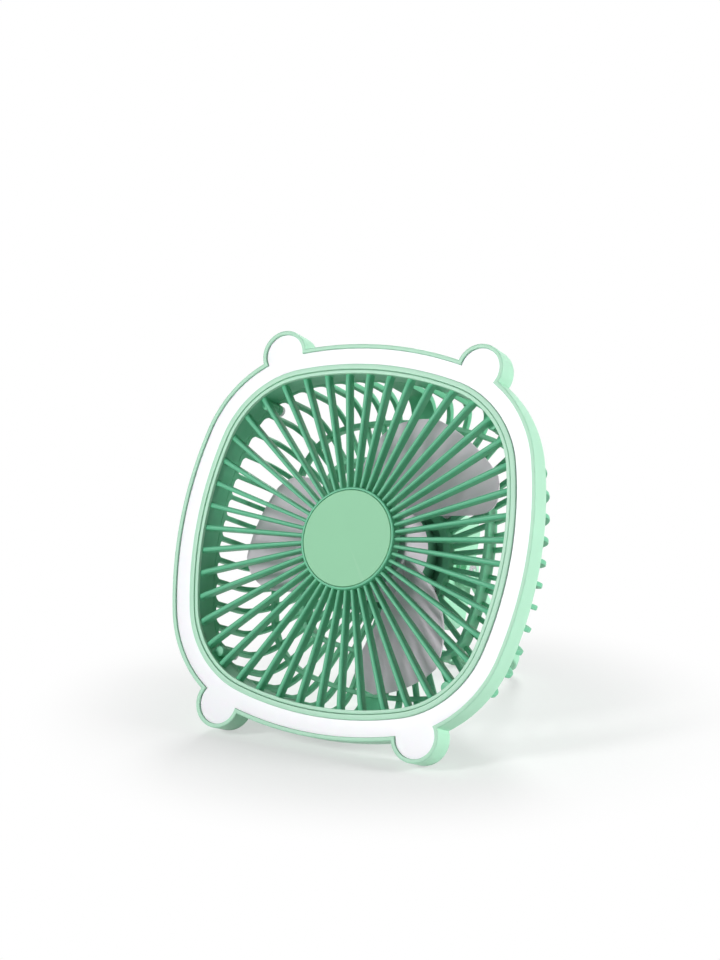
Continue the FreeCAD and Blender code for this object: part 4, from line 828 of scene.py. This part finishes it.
def floor():
    """A pale floor that keeps the shadow near the fan and turns white further out."""
    reach = 4
    base, rough = (0.85, 0.85, 0.85, 1), 0.8
    fade_from, fade_to = 0.09, 0.19
    white_near, white_far = 0.5, 1.0
    mesh = bpy.data.meshes.new("floor")
    mesh.from_pydata([(-reach, -reach, 0), (reach, -reach, 0), (reach, reach, 0),
                      (-reach, reach, 0)], [], [(0, 1, 2, 3)])
    obj = bpy.data.objects.new("floor", mesh)
    bpy.context.scene.collection.objects.link(obj)
    material = bpy.data.materials.new("floor_white")
    material.use_nodes = True
    tree = material.node_tree
    nodes, links = tree.nodes, tree.links
    nodes["Principled BSDF"].inputs["Base Color"].default_value = base
    nodes["Principled BSDF"].inputs["Roughness"].default_value = rough
    white = nodes.new("ShaderNodeEmission")
    white.inputs["Color"].default_value = WHITE
    white.inputs["Strength"].default_value = 1.0
    where = nodes.new("ShaderNodeTexCoord")
    apart = nodes.new("ShaderNodeVectorMath")
    apart.operation = "LENGTH"
    links.new(where.outputs["Object"], apart.inputs[0])
    fade = nodes.new("ShaderNodeMapRange")
    fade.inputs["From Min"].default_value = fade_from
    fade.inputs["From Max"].default_value = fade_to
    fade.inputs["To Min"].default_value = white_near
    fade.inputs["To Max"].default_value = white_far
    fade.interpolation_type = "SMOOTHSTEP"
    links.new(apart.outputs["Value"], fade.inputs["Value"])
    share = nodes.new("ShaderNodeMath")
    share.operation = "MULTIPLY"
    links.new(fade.outputs["Result"], share.inputs[0])
    links.new(seen_directly(tree), share.inputs[1])
    blend = nodes.new("ShaderNodeMixShader")
    links.new(share.outputs[0], blend.inputs["Fac"])
    links.new(nodes["Principled BSDF"].outputs[0], blend.inputs[1])
    links.new(white.outputs[0], blend.inputs[2])
    links.new(blend.outputs[0], nodes["Material Output"].inputs["Surface"])
    mesh.materials.append(material)


def studio():
    """A dim world that lights the fan little and shows as white."""
    world = bpy.data.worlds.new("studio")
    world.use_nodes = True
    bpy.context.scene.world = world
    tree = world.node_tree
    nodes, links = tree.nodes, tree.links
    dim = nodes["Background"]
    dim.inputs["Color"].default_value = WHITE
    dim.inputs["Strength"].default_value = 0.03
    seen = nodes.new("ShaderNodeBackground")
    seen.inputs["Color"].default_value = WHITE
    seen.inputs["Strength"].default_value = 1.0
    mix = nodes.new("ShaderNodeMixShader")
    links.new(seen_directly(tree), mix.inputs["Fac"])
    links.new(dim.outputs[0], mix.inputs[1])
    links.new(seen.outputs[0], mix.inputs[2])
    links.new(mix.outputs[0], nodes["World Output"].inputs["Surface"])


# Each lamp's place in metres, its width and its power. All aim at the middle of the fan.
AIM = (0, 0, 0.09)
LAMPS = {
    "key": ((-1.2, -2.35, 1.42), 0.7, 47.5),
    "side": ((2.6, 0.7, 1.1), 1.0, 68.0),
    "fill": ((0.4, -2.6, 1.0), 1.6, 7.0),
    "back": ((-1.1, 2.5, 2.0), 1.2, 62.0),
}


def lamp(name, place, size, power):
    data = bpy.data.lights.new(name, "AREA")
    data.shape = "DISK"
    data.size = size
    data.energy = power
    obj = bpy.data.objects.new(name, data)
    obj.location = place
    obj.rotation_euler = (Vector(AIM) - Vector(place)).to_track_quat("-Z", "Y").to_euler()
    bpy.context.scene.collection.objects.link(obj)


# The camera's place from the face's middle and its lens in millimetres, its turns in degrees.
CAMERA_RIGHT, CAMERA_BEFORE, CAMERA_ABOVE = 450.2, 787.3, 201.5
CAMERA_TILT, CAMERA_TURN = 79.16, 29.39
LENS, SENSOR = 74.29, 36.0
NEAREST = 0.01


def photographer():
    data = bpy.data.cameras.new("camera")
    data.sensor_fit = "VERTICAL"
    data.sensor_height = SENSOR
    data.lens = LENS
    data.clip_start = NEAREST
    obj = bpy.data.objects.new("camera", data)
    obj.location = (CAMERA_RIGHT / MM, (FACE_ALONG - CAMERA_BEFORE) / MM,
                    (FACE_HIGH + CAMERA_ABOVE) / MM)
    obj.rotation_euler = (math.radians(CAMERA_TILT), 0, math.radians(CAMERA_TURN))
    bpy.context.scene.collection.objects.link(obj)
    bpy.context.scene.camera = obj


floor()
for name, (place, size, power) in LAMPS.items():
    lamp(name, place, size, power)
studio()
photographer()
bpy.context.scene.view_settings.view_transform = "Standard"
